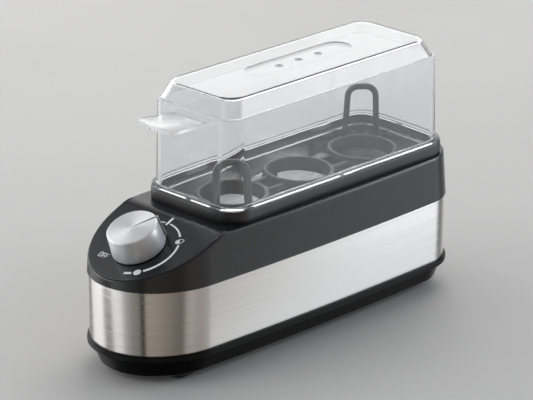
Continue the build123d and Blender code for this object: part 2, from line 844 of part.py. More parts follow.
# Egg rack: three cups on legs, joined by webs, with a finger loop at two opposite corners
with BuildPart() as egg_rack:
    with BuildSketch(Plane.XY.offset(cup_bottom_z)):
        with Locations((0, well_y)):
            with GridLocations(egg_pitch, egg_pitch, 1, egg_count):
                Circle(cup_radius + cup_wall)
                Circle(cup_radius, mode=Mode.SUBTRACT)
    extrude(amount=cup_top_z - cup_bottom_z)
    with BuildSketch(Plane.XY.offset(dish_floor_z)):
        with Locations((0, well_y)):
            with GridLocations(2 * rack_leg_x, egg_pitch, 2, egg_count):
                Rectangle(rack_leg_thickness, rack_leg_width)
    extrude(amount=cup_bottom_rise + rack_leg_thickness / 2)
    with BuildSketch(Plane.XY.offset(dish_floor_z + web_bottom_rise)):
        with Locations((0, well_y)):
            with GridLocations(2 * web_x, egg_pitch, 2, egg_count - 1):
                Rectangle(web_width, web_length)
    extrude(amount=web_top_rise - web_bottom_rise)
    for loop_egg_y, outward in ((egg_places[0], Vector(1, -1, 0)), (egg_places[-1], Vector(-1, 1, 0))):
        tray_plane = Plane(
            origin=(0, loop_egg_y, dish_floor_z + loop_tray_rise), x_dir=outward, z_dir=(0, 0, 1)
        )
        with BuildSketch(tray_plane):
            with Locations((loop_tray_middle, 0)):
                RectangleRounded(loop_tray_length, 2 * loop_tray_half_width, loop_tray_corner)
        extrude(amount=loop_tray_thickness)
        loop_plane = Plane(
            origin=Vector(0, loop_egg_y, dish_floor_z) + outward.normalized() * loop_reach,
            x_dir=Vector(0, 0, 1).cross(outward),
            z_dir=outward,
        )
        with BuildLine(loop_plane) as loop_path:
            FilletPolyline(
                (-loop_foot_half, loop_foot_rise),
                (-loop_top_half, loop_top_rise - loop_bar / 2),
                (loop_top_half, loop_top_rise - loop_bar / 2),
                (loop_foot_half, loop_foot_rise),
                radius=loop_corner,
            )
        with BuildSketch(Plane(loop_path.line @ 0, x_dir=outward, z_dir=loop_path.line % 0)):
            Rectangle(loop_bar, loop_bar)
        sweep(path=loop_path.line)
egg_rack.part.label = "egg_rack"
export_step(egg_rack.part, "parts/egg_rack.step")

# Hood of the lid, drawn in by a given amount: upright walls, then a steep chamfer up to a level top
def lid_hood(inset):
    shoulder_z = lid_shoulder_z - inset * tan(radians(lid_chamfer_angle))
    with BuildPart() as hood:
        with BuildSketch(Plane.XY.offset(collar_top)):
            add(well_outline(lid_inset + inset, lid_corner - inset))
        extrude(amount=shoulder_z - collar_top)
        with BuildSketch(Plane.XY.offset(shoulder_z)):
            add(well_outline(lid_inset + inset, lid_corner - inset))
        extrude(amount=lid_top_z - inset - shoulder_z, taper=lid_chamfer_angle)
    return hood.part


# Clear lid: flange on the collar, upright walls, chamfered top with steam holes, front grip
with BuildPart() as lid:
    add(lid_hood(0))
    with BuildSketch(Plane.XY.offset(collar_top)):
        add(well_outline(lid_flange_inset))
    extrude(amount=lid_flange_thickness)
    with BuildSketch(grip_plane) as grip_outline:
        with BuildLine():
            Polyline(
                (grip_end_half_width, grip_bulge - grip_length),
                (grip_root_half_width, 0),
                (grip_root_half_width, lid_wall / 2),
                (-grip_root_half_width, lid_wall / 2),
                (-grip_root_half_width, 0),
                (-grip_end_half_width, grip_bulge - grip_length),
            )
            ThreePointArc(
                (-grip_end_half_width, grip_bulge - grip_length),
                (0, -grip_length),
                (grip_end_half_width, grip_bulge - grip_length),
            )
        make_face()
        fillet(grip_outline.vertices().group_by(Axis.Y)[0], radius=grip_corner)
    extrude(amount=-grip_thickness)
    add(lid_hood(lid_wall), mode=Mode.SUBTRACT)
    with BuildSketch(Plane.XY.offset(collar_top)):
        with Locations((0, well_y)):
            with GridLocations(2 * lid_key_x, lid_key_pitch, 2, 2):
                Rectangle(lid_key_width, lid_key_length)
    extrude(amount=-lid_key_depth)
    with BuildSketch(Plane.XY.offset(lid_top_z)):
        with Locations((0, well_y)):
            SlotOverall(recess_length, recess_width, rotation=90)
    extrude(amount=-recess_depth, mode=Mode.SUBTRACT)
    with BuildSketch(Plane.XY.offset(lid_top_z)):
        with Locations((0, well_y)):
            with GridLocations(steam_hole_pitch, steam_hole_pitch, 1, steam_hole_count):
                Circle(steam_hole_radius)
    extrude(amount=-(recess_depth + 2 * lid_wall), mode=Mode.SUBTRACT)
lid.part.label = "lid"
export_step(lid.part, "parts/lid.step")
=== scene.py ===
import json
from math import cos, pi, radians, sin, tan

import bmesh
import bpy
import numpy as np
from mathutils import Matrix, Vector


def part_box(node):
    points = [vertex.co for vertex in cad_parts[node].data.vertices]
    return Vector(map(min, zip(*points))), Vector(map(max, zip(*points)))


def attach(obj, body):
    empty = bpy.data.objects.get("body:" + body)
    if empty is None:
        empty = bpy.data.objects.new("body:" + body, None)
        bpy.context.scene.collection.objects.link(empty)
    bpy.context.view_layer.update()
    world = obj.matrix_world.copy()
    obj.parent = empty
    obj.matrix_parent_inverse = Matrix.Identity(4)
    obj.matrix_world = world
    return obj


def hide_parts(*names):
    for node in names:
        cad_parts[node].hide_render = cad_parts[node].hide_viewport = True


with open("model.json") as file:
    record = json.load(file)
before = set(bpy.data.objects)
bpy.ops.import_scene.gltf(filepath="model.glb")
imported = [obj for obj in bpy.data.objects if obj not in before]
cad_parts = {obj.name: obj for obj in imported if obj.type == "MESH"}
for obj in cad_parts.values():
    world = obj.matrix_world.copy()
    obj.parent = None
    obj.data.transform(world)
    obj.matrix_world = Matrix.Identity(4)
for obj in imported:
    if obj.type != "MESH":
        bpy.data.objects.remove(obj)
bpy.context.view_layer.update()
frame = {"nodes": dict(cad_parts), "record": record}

mm = 0.001  # the pieces are worked out in millimetres and stored in metres
print("frame loaded:", len(frame["nodes"]), "nodes")


# lowest and highest corner of a CAD node, in millimetres
def cornersOf(node):
    low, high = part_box(node)
    return np.array(low) / mm, np.array(high) / mm


bandLow, bandHigh = cornersOf("steel_band")
collarLow, collarHigh = cornersOf("rim_collar")
lidLow, lidHigh = cornersOf("lid")
footLow, footHigh = cornersOf("rubber_feet")
dishTop = cornersOf("heating_dish")[1][2]
rackFloor = cornersOf("egg_rack")[0][2]

# body and cooking well seen from above, and the panel that slopes down to the nose
bodyShape = {
    "noseRadius": 32.0,
    "noseTurn": 45.0,
    "halfWidth": 34.97,
    "sideSlope": 2.3,
    "rearCorner": 24.0,
    "noseSteps": 32,
    "bendSteps": 32,
    "sideSteps": 48,
    "cornerSteps": 40,
    "backSteps": 8,
}
panelShape = {
    "angle": 22.42,
    "frontRise": 4.75,  # front edge of the panel above the band
    "blend": 14.0,  # radius between the panel and the deck
    "knobBack": 22.6,  # knob's middle behind the nose tip
}
wellShape = {
    "corner": 13.0,
    "deckRise": 6.35,  # the deck is this far under the collar's top
    "endSteps": 8,
    "cornerSteps": 24,
    "sideSteps": 64,
}

noseTip, bandFoot = bandLow[1:]
rearEnd, bandTop = bandHigh[1:]
collarTop = collarHigh[2]
deckLevel = collarTop - wellShape["deckRise"]
wellMiddle = (collarLow[1] + collarHigh[1]) / 2
wellHalfWidth = collarHigh[0]
wellHalfLength = (collarHigh[1] - collarLow[1]) / 2
panelTurn = radians(panelShape["angle"])
panelFront = bandTop + panelShape["frontRise"]


# vectors made one unit long
def unit(vectors):
    return vectors / np.linalg.norm(vectors, axis=-1, keepdims=True)


# directions at the given turns: (cos, sin)
def compass(turn):
    return np.stack((np.cos(turn), np.sin(turn)), axis=-1)


# directions square to a run of steps: each step's second number and minus its first
def squareTo(steps):
    return unit(np.stack((steps[:, 1], -steps[:, 0]), axis=1))


# flat points with their height added
def raised(flat, height):
    up = np.broadcast_to(np.asarray(height, float)[..., None], flat.shape[:-1] + (1,))
    return np.concatenate((flat, up), axis=-1)


# sheet between two rings, or from a ring to one point: each point goes evenly from the first to the second
def between(first, second, steps=6):
    share = np.linspace(0, 1, steps + 1)[:, None, None]
    return first * (1 - share) + np.asarray(second, float) * share


# evenly spaced places on both sides of zero
def evenly(count, pitch):
    return (np.arange(count) - (count - 1) / 2) * pitch


# points on a circle and the directions square to it: middle + radius * (cos, sin) of the turn
def arcPoints(middle, radius, startTurn, endTurn, steps):
    away = compass(np.linspace(startTurn, endTurn, steps + 1))
    return np.asarray(middle) + radius * away, away


# points on a straight line, and the direction square to it at each
def linePoints(start, end, away, steps):
    return np.linspace(start, end, steps + 1), np.tile(np.array(away, float), (steps + 1, 1))


# closed rim from the stretches of its right half, which share their end points: the half from front
# to rear without the repeats, then its mirror image back to the front
def closedRim(stretches):
    flip = np.array([-1.0, 1.0])
    rim = []
    for kind in (0, 1):
        half = np.concatenate([s[kind][:-1] for s in stretches[:-1]] + [stretches[-1][kind]])
        rim.append(np.concatenate((half, half[-2::-1] * flip)))
    return rim


# rim of the body at the band: nose arc, shoulder arc, bowed side, rear corner, straight back
def bodyRim():
    turn, slope = radians(bodyShape["noseTurn"]), radians(bodyShape["sideSlope"])
    noseRadius, corner = bodyShape["noseRadius"], bodyShape["rearCorner"]
    shoulder = (bodyShape["halfWidth"] - noseRadius * sin(turn)) / (cos(slope) - sin(turn))
    noseMiddle = np.array([0.0, noseTip + noseRadius])
    shoulderMiddle = noseMiddle + (noseRadius - shoulder) * compass(turn - pi / 2)
    nose = arcPoints(noseMiddle, noseRadius, -pi / 2, turn - pi / 2, bodyShape["noseSteps"])
    bend = arcPoints(shoulderMiddle, shoulder, turn - pi / 2, -slope, bodyShape["bendSteps"])
    sideStart = bend[0][-1]
    sideEnd = np.array([sideStart[0], rearEnd - corner * (1 - sin(slope))])
    sideRadius = (sideEnd[1] - sideStart[1]) / (2 * sin(slope))
    sideMiddle = sideStart - sideRadius * compass(-slope)
    side = arcPoints(sideMiddle, sideRadius, -slope, slope, bodyShape["sideSteps"])
    rear = arcPoints(sideEnd - corner * compass(slope), corner, slope, pi / 2, bodyShape["cornerSteps"])
    back = linePoints((rear[0][-1][0], rearEnd), (0, rearEnd), (0, 1), bodyShape["backSteps"])
    return closedRim((nose, bend, side, rear, back))


# rim of the cooking well: a rounded rectangle, half an edge, corner, side, corner, half an edge
def wellRim(inset=0.0, corner=wellShape["corner"]):
    halfX, halfY = wellHalfWidth - inset, wellHalfLength - inset
    x, y = halfX - corner, halfY - corner
    ends, bends = wellShape["endSteps"], wellShape["cornerSteps"]
    spots, aways = closedRim((
        linePoints((0, -halfY), (x, -halfY), (0, -1), ends),
        arcPoints((x, -y), corner, -pi / 2, 0, bends),
        linePoints((halfX, -y), (halfX, y), (1, 0), wellShape["sideSteps"]),
        arcPoints((x, y), corner, 0, pi / 2, bends),
        linePoints((x, halfY), (0, halfY), (0, 1), ends),
    ))
    return spots + np.array([0.0, wellMiddle]), aways


# profile with rounded corners: each corner with a radius becomes an arc that touches both of its sides
def roundedProfile(corners, rounds, closed, steps=5):
    spots = np.array(corners, float)
    stretches = []
    for place, (spot, radius) in enumerate(zip(spots, rounds)):
        if radius == 0:
            stretches.append(spot[None])
            continue
        back, ahead = unit(np.stack((spots[place - 1], spots[(place + 1) % len(spots)])) - spot)
        half = np.arccos(np.clip(back @ ahead, -1, 1)) / 2
        middle = spot + unit(back + ahead) * radius / np.sin(half)
        first = spot + back * radius / np.tan(half) - middle
        turn = np.linspace(0, pi - 2 * half, steps + 1)[:, None]
        stretches.append(middle + first * np.cos(turn) - back * radius * np.sin(turn))
    if closed:
        stretches.append(stretches[0][:1])
    return np.concatenate(stretches)


# closed outline of a rectangle with round corners, counter-clockwise
def roundedBox(halfX, halfY, radius, middle=(0, 0)):
    corners = [(x * halfX, y * halfY) for x, y in ((1, -1), (1, 1), (-1, 1), (-1, -1))]
    return roundedProfile(corners, [radius] * 4, True) + np.asarray(middle, float)


# profile carried round a rim: each rim point moves out by the profile's first number, up to its second
def carriedRound(profile, rim):
    spots, aways = rim
    return raised(spots + profile[:, None, :1] * aways, profile[:, 1:])


# profile of (radius, height) turned once round the upright axis
def turnedRound(profile, steps=96):
    around = compass(np.linspace(0, 2 * pi, steps + 1))
    return raised(profile[:, None, :1] * around, profile[:, 1:])


# section carried along an open path in the plane of two directions, with its width at each point;
# both ends close on their middles
def carriedAlong(path, section, widths=1.0):
    across = squareTo(np.gradient(path, axis=0)) * np.reshape(widths, (-1, 1))
    rows = raised(path[:, None] + across[:, None] * section[:, :1], section[:, 1])
    first, last = [np.broadcast_to(rows[end, :-1].mean(axis=0), rows[:1].shape) for end in (0, -1)]
    return np.concatenate((first, rows, last))


# block with rounded edges over a closed outline: rings drawn in at both ends and shrunk to the middle
def softBlock(outline, low, high, edge, steps=3):
    away = squareTo(np.roll(outline[:-1], -1, axis=0) - np.roll(outline[:-1], 1, axis=0))
    away = np.concatenate((away, away[:1]))
    turn = np.linspace(0, pi / 2, steps + 1)
    lower = np.stack((edge * (np.sin(turn) - 1), low + edge * (1 - np.cos(turn))), axis=1)
    upper = np.stack((edge * (np.cos(turn) - 1), high - edge * (1 - np.sin(turn))), axis=1)
    wall = carriedRound(np.concatenate((lower, upper)), (outline, away))
    middle = outline[:-1].mean(axis=0)
    bottom = between(wall[0], (*middle, low), 1)[::-1]
    top = between(wall[-1], (*middle, high), 1)
    return np.concatenate((bottom[:-1], wall, top[1:]))


# points given along three directions from an origin
def placed(points, origin, first, second, third):
    axes = np.array([first, second, third], float)
    return np.asarray(origin, float) + points @ axes


# height of the deck and panel at a place along the body: a level line, an arc and a sloping line
def roofHeight(y):
    blend = panelShape["blend"]
    knee = noseTip + (deckLevel - panelFront) / tan(panelTurn)
    reach = blend * tan(panelTurn / 2)
    arcMiddle = knee + reach
    drop = np.clip(arcMiddle - y, 0, blend * sin(panelTurn))
    arc = deckLevel - blend + np.sqrt(blend**2 - drop**2)
    slope = panelFront + (y - noseTip) * tan(panelTurn)
    return np.where(y > arcMiddle, deckLevel, np.where(y < knee - reach * cos(panelTurn), slope, arc))


meshing = {
    "sharp": 34.0,  # degrees between faces from which an edge stays sharp
    "mergeGap": 2e-6,  # metres
    "tinyEdge": 1e-7,
}


# one mesh object from grids of points: quads between neighbours, doubles merged, faces turned outwards;
# the finish is that of the slot or one given, and the second grids take a finish of their own
def makePiece(
    name, grids, body, slotName, stands=(), sharp=meshing["sharp"], finish=None, second=None, secondGrids=()
):
    spots, quads, maps, kinds, start = [], [], [], [], 0
    for grid, kind in [(g, 0) for g in grids] + [(g, 1) for g in secondGrids]:
        rows, cols = grid.shape[:2]
        index = np.arange(rows * cols).reshape(rows, cols) + start
        corners = (index[:-1, :-1], index[:-1, 1:], index[1:, 1:], index[1:, :-1])
        quads.append(np.stack(corners, axis=-1).reshape(-1, 4))
        around, along = np.meshgrid(np.linspace(0, 1, cols), np.linspace(0, 1, rows))
        maps.append(np.stack((around, along), axis=-1).reshape(-1, 2))
        kinds.append(np.full((rows - 1) * (cols - 1), kind, np.int32))
        spots.append(grid.reshape(-1, 3))
        start += rows * cols
    spots, quads, maps = np.concatenate(spots) * mm, np.concatenate(quads), np.concatenate(maps)
    mesh = bpy.data.meshes.new(name)
    mesh.vertices.add(len(spots))
    mesh.vertices.foreach_set("co", spots.astype(np.float32).ravel())
    mesh.loops.add(quads.size)
    mesh.loops.foreach_set("vertex_index", quads.astype(np.int32).ravel())
    mesh.polygons.add(len(quads))
    mesh.polygons.foreach_set("loop_start", np.arange(0, quads.size, 4, dtype=np.int32))
    mesh.polygons.foreach_set("material_index", np.concatenate(kinds))
    mesh.update(calc_edges=True)
    layer = mesh.uv_layers.new(name="around")
    layer.uv.foreach_set("vector", maps[quads.ravel()].astype(np.float32).ravel())
    mesh.validate()
    sealed = bmesh.new()
    sealed.from_mesh(mesh)
    bmesh.ops.remove_doubles(sealed, verts=sealed.verts, dist=meshing["mergeGap"])
    bmesh.ops.dissolve_degenerate(sealed, edges=sealed.edges, dist=meshing["tinyEdge"])
    bmesh.ops.recalc_face_normals(sealed, faces=sealed.faces)
    sealed.to_mesh(mesh)
    sealed.free()
    mesh.shade_smooth()
    mesh.set_sharp_from_angle(angle=radians(sharp))
    mesh.materials.append(finish or finishes[slotName])
    if secondGrids:
        mesh.materials.append(second)
    piece = bpy.data.objects.new(name, mesh)
    bpy.context.scene.collection.objects.link(piece)
    if body:
        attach(piece, body)
    if stands:
        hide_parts(*stands)
    return piece


# takes closed blocks away from a piece and keeps the result as its mesh
def cutAway(piece, grids, sharp=meshing["sharp"]):
    cutter = makePiece(piece.name + "Cutter", grids, None, None, finish=piece.data.materials[0])
    cut = piece.modifiers.new("cut", "BOOLEAN")
    cut.operation, cut.solver, cut.object = "DIFFERENCE", "EXACT", cutter
    bpy.context.view_layer.update()
    graph = bpy.context.evaluated_depsgraph_get()
    mesh = bpy.data.meshes.new_from_object(piece.evaluated_get(graph))
    piece.modifiers.remove(cut)
    piece.data = mesh
    mesh.set_sharp_from_angle(angle=radians(sharp))
    bpy.data.objects.remove(cutter)


# finishes

maskRange = (0.3, 0.7)  # noise under or over this takes the first or the last setting
bumpDepth = {"grain": 0.0002, "brush": 0.00005, "ripple": 0.0003}  # metres


# gives inputs of a node their values, or links them to the outputs of other nodes
def feed(tree, node, inputs):
    for label, value in inputs.items():
        if isinstance(value, bpy.types.NodeSocket):
            tree.links.new(value, node.inputs[label])
        else:
            node.inputs[label].default_value = value


# new node with its settings and inputs
def addNode(tree, kind, inputs={}, **settings):
    node = tree.nodes.new("ShaderNode" + kind)
    for label, value in settings.items():
        setattr(node, label, value)
    feed(tree, node, inputs)
    return node


# new shader group with named inputs, which are vectors where they have no start value, and named outputs
def newGroup(name, inputs, outputs):
    group = bpy.data.node_groups.new(name, "ShaderNodeTree")
    for label, start in inputs.items():
        kind = "NodeSocketVector" if start is None else "NodeSocketFloat"
        socket = group.interface.new_socket(label, in_out="INPUT", socket_type=kind)
        if start is not None:
            socket.default_value = start
    for label in outputs:
        group.interface.new_socket(label, in_out="OUTPUT", socket_type="NodeSocketFloat")
    return group, group.nodes.new("NodeGroupInput"), group.nodes.new("NodeGroupOutput")


# fine moulded texture: small bumps, and a slow cloudy change of tone
def mouldedGrainGroup():
    group, enter, leave = newGroup("mouldedGrain", {"Fineness": 2200.0, "Patch": 18.0}, ("Height", "Cloud"))
    place = addNode(group, "TexCoord").outputs["Object"]
    for label, detail, result in (("Fineness", 2.0, "Height"), ("Patch", 4.0, "Cloud")):
        noise = addNode(group, "TexNoise", {"Vector": place, "Scale": enter.outputs[label], "Detail": detail})
        feed(group, leave, {result: noise.outputs["Fac"]})
    return group


# brush marks: noise drawn out long in one direction, with a few deeper lines
def brushLinesGroup():
    group, enter, leave = newGroup("brushLines", {"Vector": None}, ("Streak", "Scratch"))
    place = enter.outputs["Vector"]
    fine = addNode(group, "TexNoise", {"Vector": place, "Scale": 1.0, "Detail": 6.0, "Roughness": 0.7})
    deep = addNode(group, "TexNoise", {"Vector": place, "Scale": 0.23, "Detail": 1.0})
    feed(group, leave, {"Streak": fine.outputs["Fac"], "Scratch": deep.outputs["Fac"]})
    return group


grainGroup = mouldedGrainGroup()
brushGroup = brushLinesGroup()


# empty material with its node tree and shader
def startFinish(name):
    finish = bpy.data.materials.new(name)
    finish.use_nodes = True
    tree = finish.node_tree
    tree.nodes.clear()
    shader = addNode(tree, "BsdfPrincipled")
    addNode(tree, "OutputMaterial", {"Surface": shader.outputs[0]})
    return finish, tree, shader


# outputs of the grain group with a material's own values
def grainOf(tree, fineness, patch):
    return addNode(tree, "Group", {"Fineness": fineness, "Patch": patch}, node_tree=grainGroup).outputs


# value between two settings that a mask drives
def rampFrom(tree, mask, ends):
    low, high = maskRange
    settings = {"Value": mask, "From Min": low, "From Max": high, "To Min": ends[0], "To Max": ends[1]}
    return addNode(tree, "MapRange", settings).outputs["Result"]


# two colours mixed by a mask
def tintFrom(tree, mask, dark, light):
    ramp = addNode(tree, "ValToRGB", {"Fac": mask})
    for stop, place, colour in zip(ramp.color_ramp.elements, maskRange, (dark, light)):
        stop.position, stop.color = place, (*colour, 1)
    return ramp.outputs["Color"]


# normal bumped by a height mask
def bumpFrom(tree, mask, strength, kind):
    settings = {"Height": mask, "Strength": strength, "Distance": bumpDepth[kind]}
    return addNode(tree, "Bump", settings).outputs["Normal"]


# moulded plastic or rubber: grain bumps, cloudy tone and gloss
def mouldedFinish(name, dark, light, gloss, fineness=2200.0, patch=18.0, strength=0.12, specular=0.5):
    finish, tree, shader = startFinish(name)
    grain = grainOf(tree, fineness, patch)
    feed(tree, shader, {
        "Specular IOR Level": specular,
        "Base Color": tintFrom(tree, grain["Cloud"], dark, light),
        "Roughness": rampFrom(tree, grain["Cloud"], gloss),
        "Normal": bumpFrom(tree, grain["Height"], strength, "grain"),
    })
    return finish


# metal with brush marks along the object's level directions, or round its own map
def brushedFinish(name, dark, light, gloss, stretch, followMap=False, lean=0.0, strength=0.08, metal=1.0):
    finish, tree, shader = startFinish(name)
    if followMap:
        place = addNode(tree, "UVMap", uv_map="around").outputs["UV"]
    else:
        place = addNode(tree, "TexCoord").outputs["Object"]
    spread = addNode(tree, "Mapping", {"Vector": place, "Scale": stretch}).outputs["Vector"]
    brush = addNode(tree, "Group", node_tree=brushGroup)
    feed(tree, brush, {"Vector": spread})
    feed(tree, shader, {
        "Metallic": metal,
        "Base Color": tintFrom(tree, brush.outputs["Streak"], dark, light),
        "Roughness": rampFrom(tree, brush.outputs["Scratch"], gloss),
        "Normal": bumpFrom(tree, brush.outputs["Streak"], strength, "brush"),
    })
    if lean:
        tangent = addNode(tree, "Tangent", direction_type="UV_MAP", uv_map="around")
        feed(tree, shader, {
            "Anisotropic": lean,
            "Anisotropic Rotation": 0.25,  # the glint spreads across the marks
            "Tangent": tangent.outputs["Tangent"],
        })
    return finish


clearPlastic = {
    "colour": (0.985, 0.992, 1.0, 1),
    "refraction": 1.49,
    "grain": (90.0, 30.0),
    "shadow": (0.9, 0.91, 0.92, 1),
}


# clear plastic: polished, faintly uneven; light passes to the inside without dark shadows
def clearFinish(name, gloss, ripple, through=1.0):
    finish, tree, shader = startFinish(name)
    grain = grainOf(tree, *clearPlastic["grain"])
    feed(tree, shader, {
        "Base Color": clearPlastic["colour"],
        "Transmission Weight": through,
        "IOR": clearPlastic["refraction"],
        "Roughness": rampFrom(tree, grain["Cloud"], gloss),
        "Normal": bumpFrom(tree, grain["Height"], ripple, "ripple"),
    })
    shadow = addNode(tree, "LightPath").outputs["Is Shadow Ray"]
    passing = addNode(tree, "BsdfTransparent", {"Color": clearPlastic["shadow"]})
    either = addNode(tree, "MixShader", {"Fac": shadow, 1: shader.outputs[0], 2: passing.outputs[0]})
    feed(tree, tree.nodes["Material Output"], {"Surface": either.outputs[0]})
    return finish


finishes = {
    "base_plastic": mouldedFinish(
        "blackBase", (0.0032, 0.0032, 0.0034), (0.005, 0.005, 0.0054), (0.26, 0.36),
        strength=0.05, specular=0.13
    ),
    "rubber": mouldedFinish(
        "footRubber", (0.010, 0.010, 0.010), (0.018, 0.018, 0.018), (0.65, 0.8), 900.0, 30.0, 0.3, 0.3
    ),
    "brushed_steel": brushedFinish(
        "brushedBand", (0.62, 0.61, 0.595), (0.68, 0.67, 0.66), (0.20, 0.28), (10, 10, 2600),
        lean=0.8, strength=0.03
    ),
    "housing_plastic": mouldedFinish(
        "housingPlastic", (0.0080, 0.0086, 0.0100), (0.0105, 0.0113, 0.0132), (0.23, 0.30),
        strength=0.04, specular=0.6
    ),
    "collar_plastic": mouldedFinish(
        "collarPlastic", (0.0085, 0.009, 0.0102), (0.0115, 0.0123, 0.014), (0.34, 0.42),
        strength=0.06, specular=0.75
    ),
    "silicone": mouldedFinish("silicone", (0.45, 0.45, 0.43), (0.52, 0.52, 0.5), (0.5, 0.6)),
    "dish_steel": brushedFinish(
        "dishSteel", (0.46, 0.46, 0.46), (0.54, 0.54, 0.54), (0.22, 0.32), (300, 40, 300)
    ),
    "plain_aluminium": brushedFinish(
        "plainAluminium", (0.58, 0.58, 0.6), (0.7, 0.7, 0.71), (0.35, 0.5), (400, 60, 400)
    ),
    "heater_steel": brushedFinish(
        "heaterSteel", (0.22, 0.21, 0.2), (0.32, 0.31, 0.3), (0.35, 0.5), (300, 50, 300)
    ),
    "spring_steel": brushedFinish(
        "springSteel", (0.45, 0.45, 0.44), (0.55, 0.55, 0.54), (0.25, 0.4), (500, 60, 500)
    ),
    "fuse_shell": mouldedFinish("fuseShell", (0.5, 0.5, 0.45), (0.6, 0.6, 0.55), (0.4, 0.5)),
    "board_laminate": mouldedFinish(
        "boardLaminate", (0.03, 0.14, 0.05), (0.05, 0.2, 0.08), (0.3, 0.4), 1200.0, 60.0
    ),
    "relay_plastic": mouldedFinish("relayPlastic", (0.03, 0.09, 0.32), (0.05, 0.12, 0.4), (0.25, 0.35)),
    "capacitor_plastic": mouldedFinish(
        "capacitorPlastic", (0.35, 0.25, 0.04), (0.42, 0.32, 0.06), (0.35, 0.45)
    ),
    "terminal_plastic": mouldedFinish("terminalPlastic", (0.08, 0.26, 0.1), (0.1, 0.3, 0.12), (0.4, 0.5)),
    "brass": brushedFinish("turnedBrass", (0.62, 0.47, 0.2), (0.72, 0.56, 0.26), (0.25, 0.4), (60, 60, 900)),
    "knob_aluminium": brushedFinish(
        "spunKnob", (0.92, 0.93, 0.94), (0.98, 0.985, 0.99), (0.31, 0.37), (1.5, 260, 1), True, 0.9, 0.06, 0.5
    ),
    "pointer_inlay": mouldedFinish("pointerInlay", (0.15, 0.155, 0.16), (0.19, 0.195, 0.2), (0.4, 0.5)),
    "rack_plastic": mouldedFinish("rackPlastic", (0.016, 0.0175, 0.0195), (0.022, 0.024, 0.027), (0.3, 0.4)),
    "clear_plastic": clearFinish("clearLid", (0.0, 0.03), 0.001, 0.965),
}
frostedGrip = clearFinish("frostedGrip", (0.22, 0.32), 0.05)
# rough clear plastic that lets only about a third of the light through, so its near-white colour shows: a
# painted highlight on the lid's ledge and on the rims of the recess and the steam holes
paintedHighlightEdge = clearFinish("paintedHighlightEdge", (0.25, 0.35), 0.05, 0.35)
turnedSide = brushedFinish(
    "turnedSide", (0.72, 0.735, 0.755), (0.80, 0.815, 0.835), (0.46, 0.54), (1.5, 60, 1),
    True, 0.5, 0.04, 0.85
)
# light grey for the rib's outer edge: a painted highlight
ribEdgePaintedHighlight = mouldedFinish("ribEdgePaintedHighlight", (0.42, 0.44, 0.45), (0.5, 0.52, 0.53), (0.35, 0.45))
printWhite = mouldedFinish(
    "printWhite", (0.93, 0.93, 0.92), (0.97, 0.97, 0.96), (0.45, 0.55), 1500.0, 60.0, 0.05
)

# every CAD node takes the finish of its slot
for part in frame["record"]["subparts"]:
    node = frame["nodes"][part["node"]]
    node.data.materials.clear()
    node.data.materials.append(finishes[part["material_slot"]])
print("finishes:", len(finishes))

rimOfBody = bodyRim()
rimOfWell = wellRim()

# base with its skirt, flange, floor and vents

base = {
    "skirtTopInset": 1.4,
    "draft": 18.4,
    "overhang": 1.3,
    "flangeHeight": 3.3,
    "wall": 2.2,
    "rim": 2.6,
    "floorStrip": 6.0,  # outer part of the floor, where its middle sheet starts
    "rounds": (0, 1.6, 0.35, 0.9, 0.7, 0.3, 0.8, 0),
    "vents": {
        "count": 7,
        "pitch": 5.0,
        "halfLength": 11.0,
        "halfWidth": 1.1,
        "corner": 1.0,
        "edge": 0.2,
        "fromRear": 65.35,
        "under": 3,  # the cut starts this far under the floor and ends this far over it
        "over": 6,
    },
}


# wall profile carried round the body's rim, two level sheets for the floor, slots cut through it
def makeBase():
    floorLow, flangeTop = footHigh[2], bandFoot
    floorHigh, flangeLow = floorLow + base["wall"], flangeTop - base["flangeHeight"]
    foot = -base["skirtTopInset"] - (flangeLow - floorLow) * tan(radians(base["draft"]))
    corners = [
        (foot - base["floorStrip"], floorLow),
        (foot, floorLow),
        (-base["skirtTopInset"], flangeLow),
        (base["overhang"], flangeLow),
        (base["overhang"], flangeTop),
        (-base["rim"], flangeTop),
        (foot - base["wall"], floorHigh),
        (foot - base["floorStrip"], floorHigh),
    ]
    wall = carriedRound(roundedProfile(corners, base["rounds"], False), rimOfBody)
    grids = [wall, between(wall[0], (0, 0, floorLow)), between(wall[-1], (0, 0, floorHigh))]
    shell = makePiece("baseShell", grids, "body", "base_plastic", ("base_shell",))
    vents, slots = base["vents"], []
    for y in rearEnd - vents["fromRear"] + evenly(vents["count"], vents["pitch"]):
        slot = roundedBox(vents["halfLength"], vents["halfWidth"], vents["corner"], (0, y))
        slots.append(softBlock(slot, floorLow - vents["under"], floorLow + vents["over"], vents["edge"]))
    cutAway(shell, slots)


makeBase()

# feet

feet = {"width": 13.0, "corner": 4.0, "edge": 1.0, "sink": 0.15}


# a soft-edged block near each corner
def makeFeet():
    half = feet["width"] / 2
    grids = []
    for x in (footLow[0] + half, footHigh[0] - half):
        for y in (footLow[1] + half, footHigh[1] - half):
            pad = roundedBox(half, half, feet["corner"], (x, y))
            grids.append(softBlock(pad, footLow[2], footHigh[2] + feet["sink"], feet["edge"]))
    makePiece("rubberFeet", grids, "body", "rubber", ("rubber_feet",))


makeFeet()

# brushed band

band = {
    "thickness": 0.6,
    "edge": 0.22,
    "hole": {"half": 4.85, "level": 31.0, "corner": 0.6, "halfDepth": 4, "edge": 0.1},  # for the gland
}


# thin upright strip carried round the body's rim, with a hole for the gland at the back
def makeBand():
    corners = [(0, bandFoot), (0, bandTop), (-band["thickness"], bandTop), (-band["thickness"], bandFoot)]
    strip = carriedRound(roundedProfile(corners, [band["edge"]] * 4, True), rimOfBody)
    strip = makePiece("steelBand", [strip], "body", "brushed_steel", ("steel_band",))
    hole = band["hole"]
    block = roundedBox(hole["half"], hole["half"], hole["corner"])
    block = softBlock(block, -hole["halfDepth"], hole["halfDepth"], hole["edge"])
    cutAway(strip, [placed(block, (0, rearEnd, hole["level"]), (1, 0, 0), (0, 0, 1), (0, -1, 0))])


makeBand()
print("base, feet and band made")

# upper housing

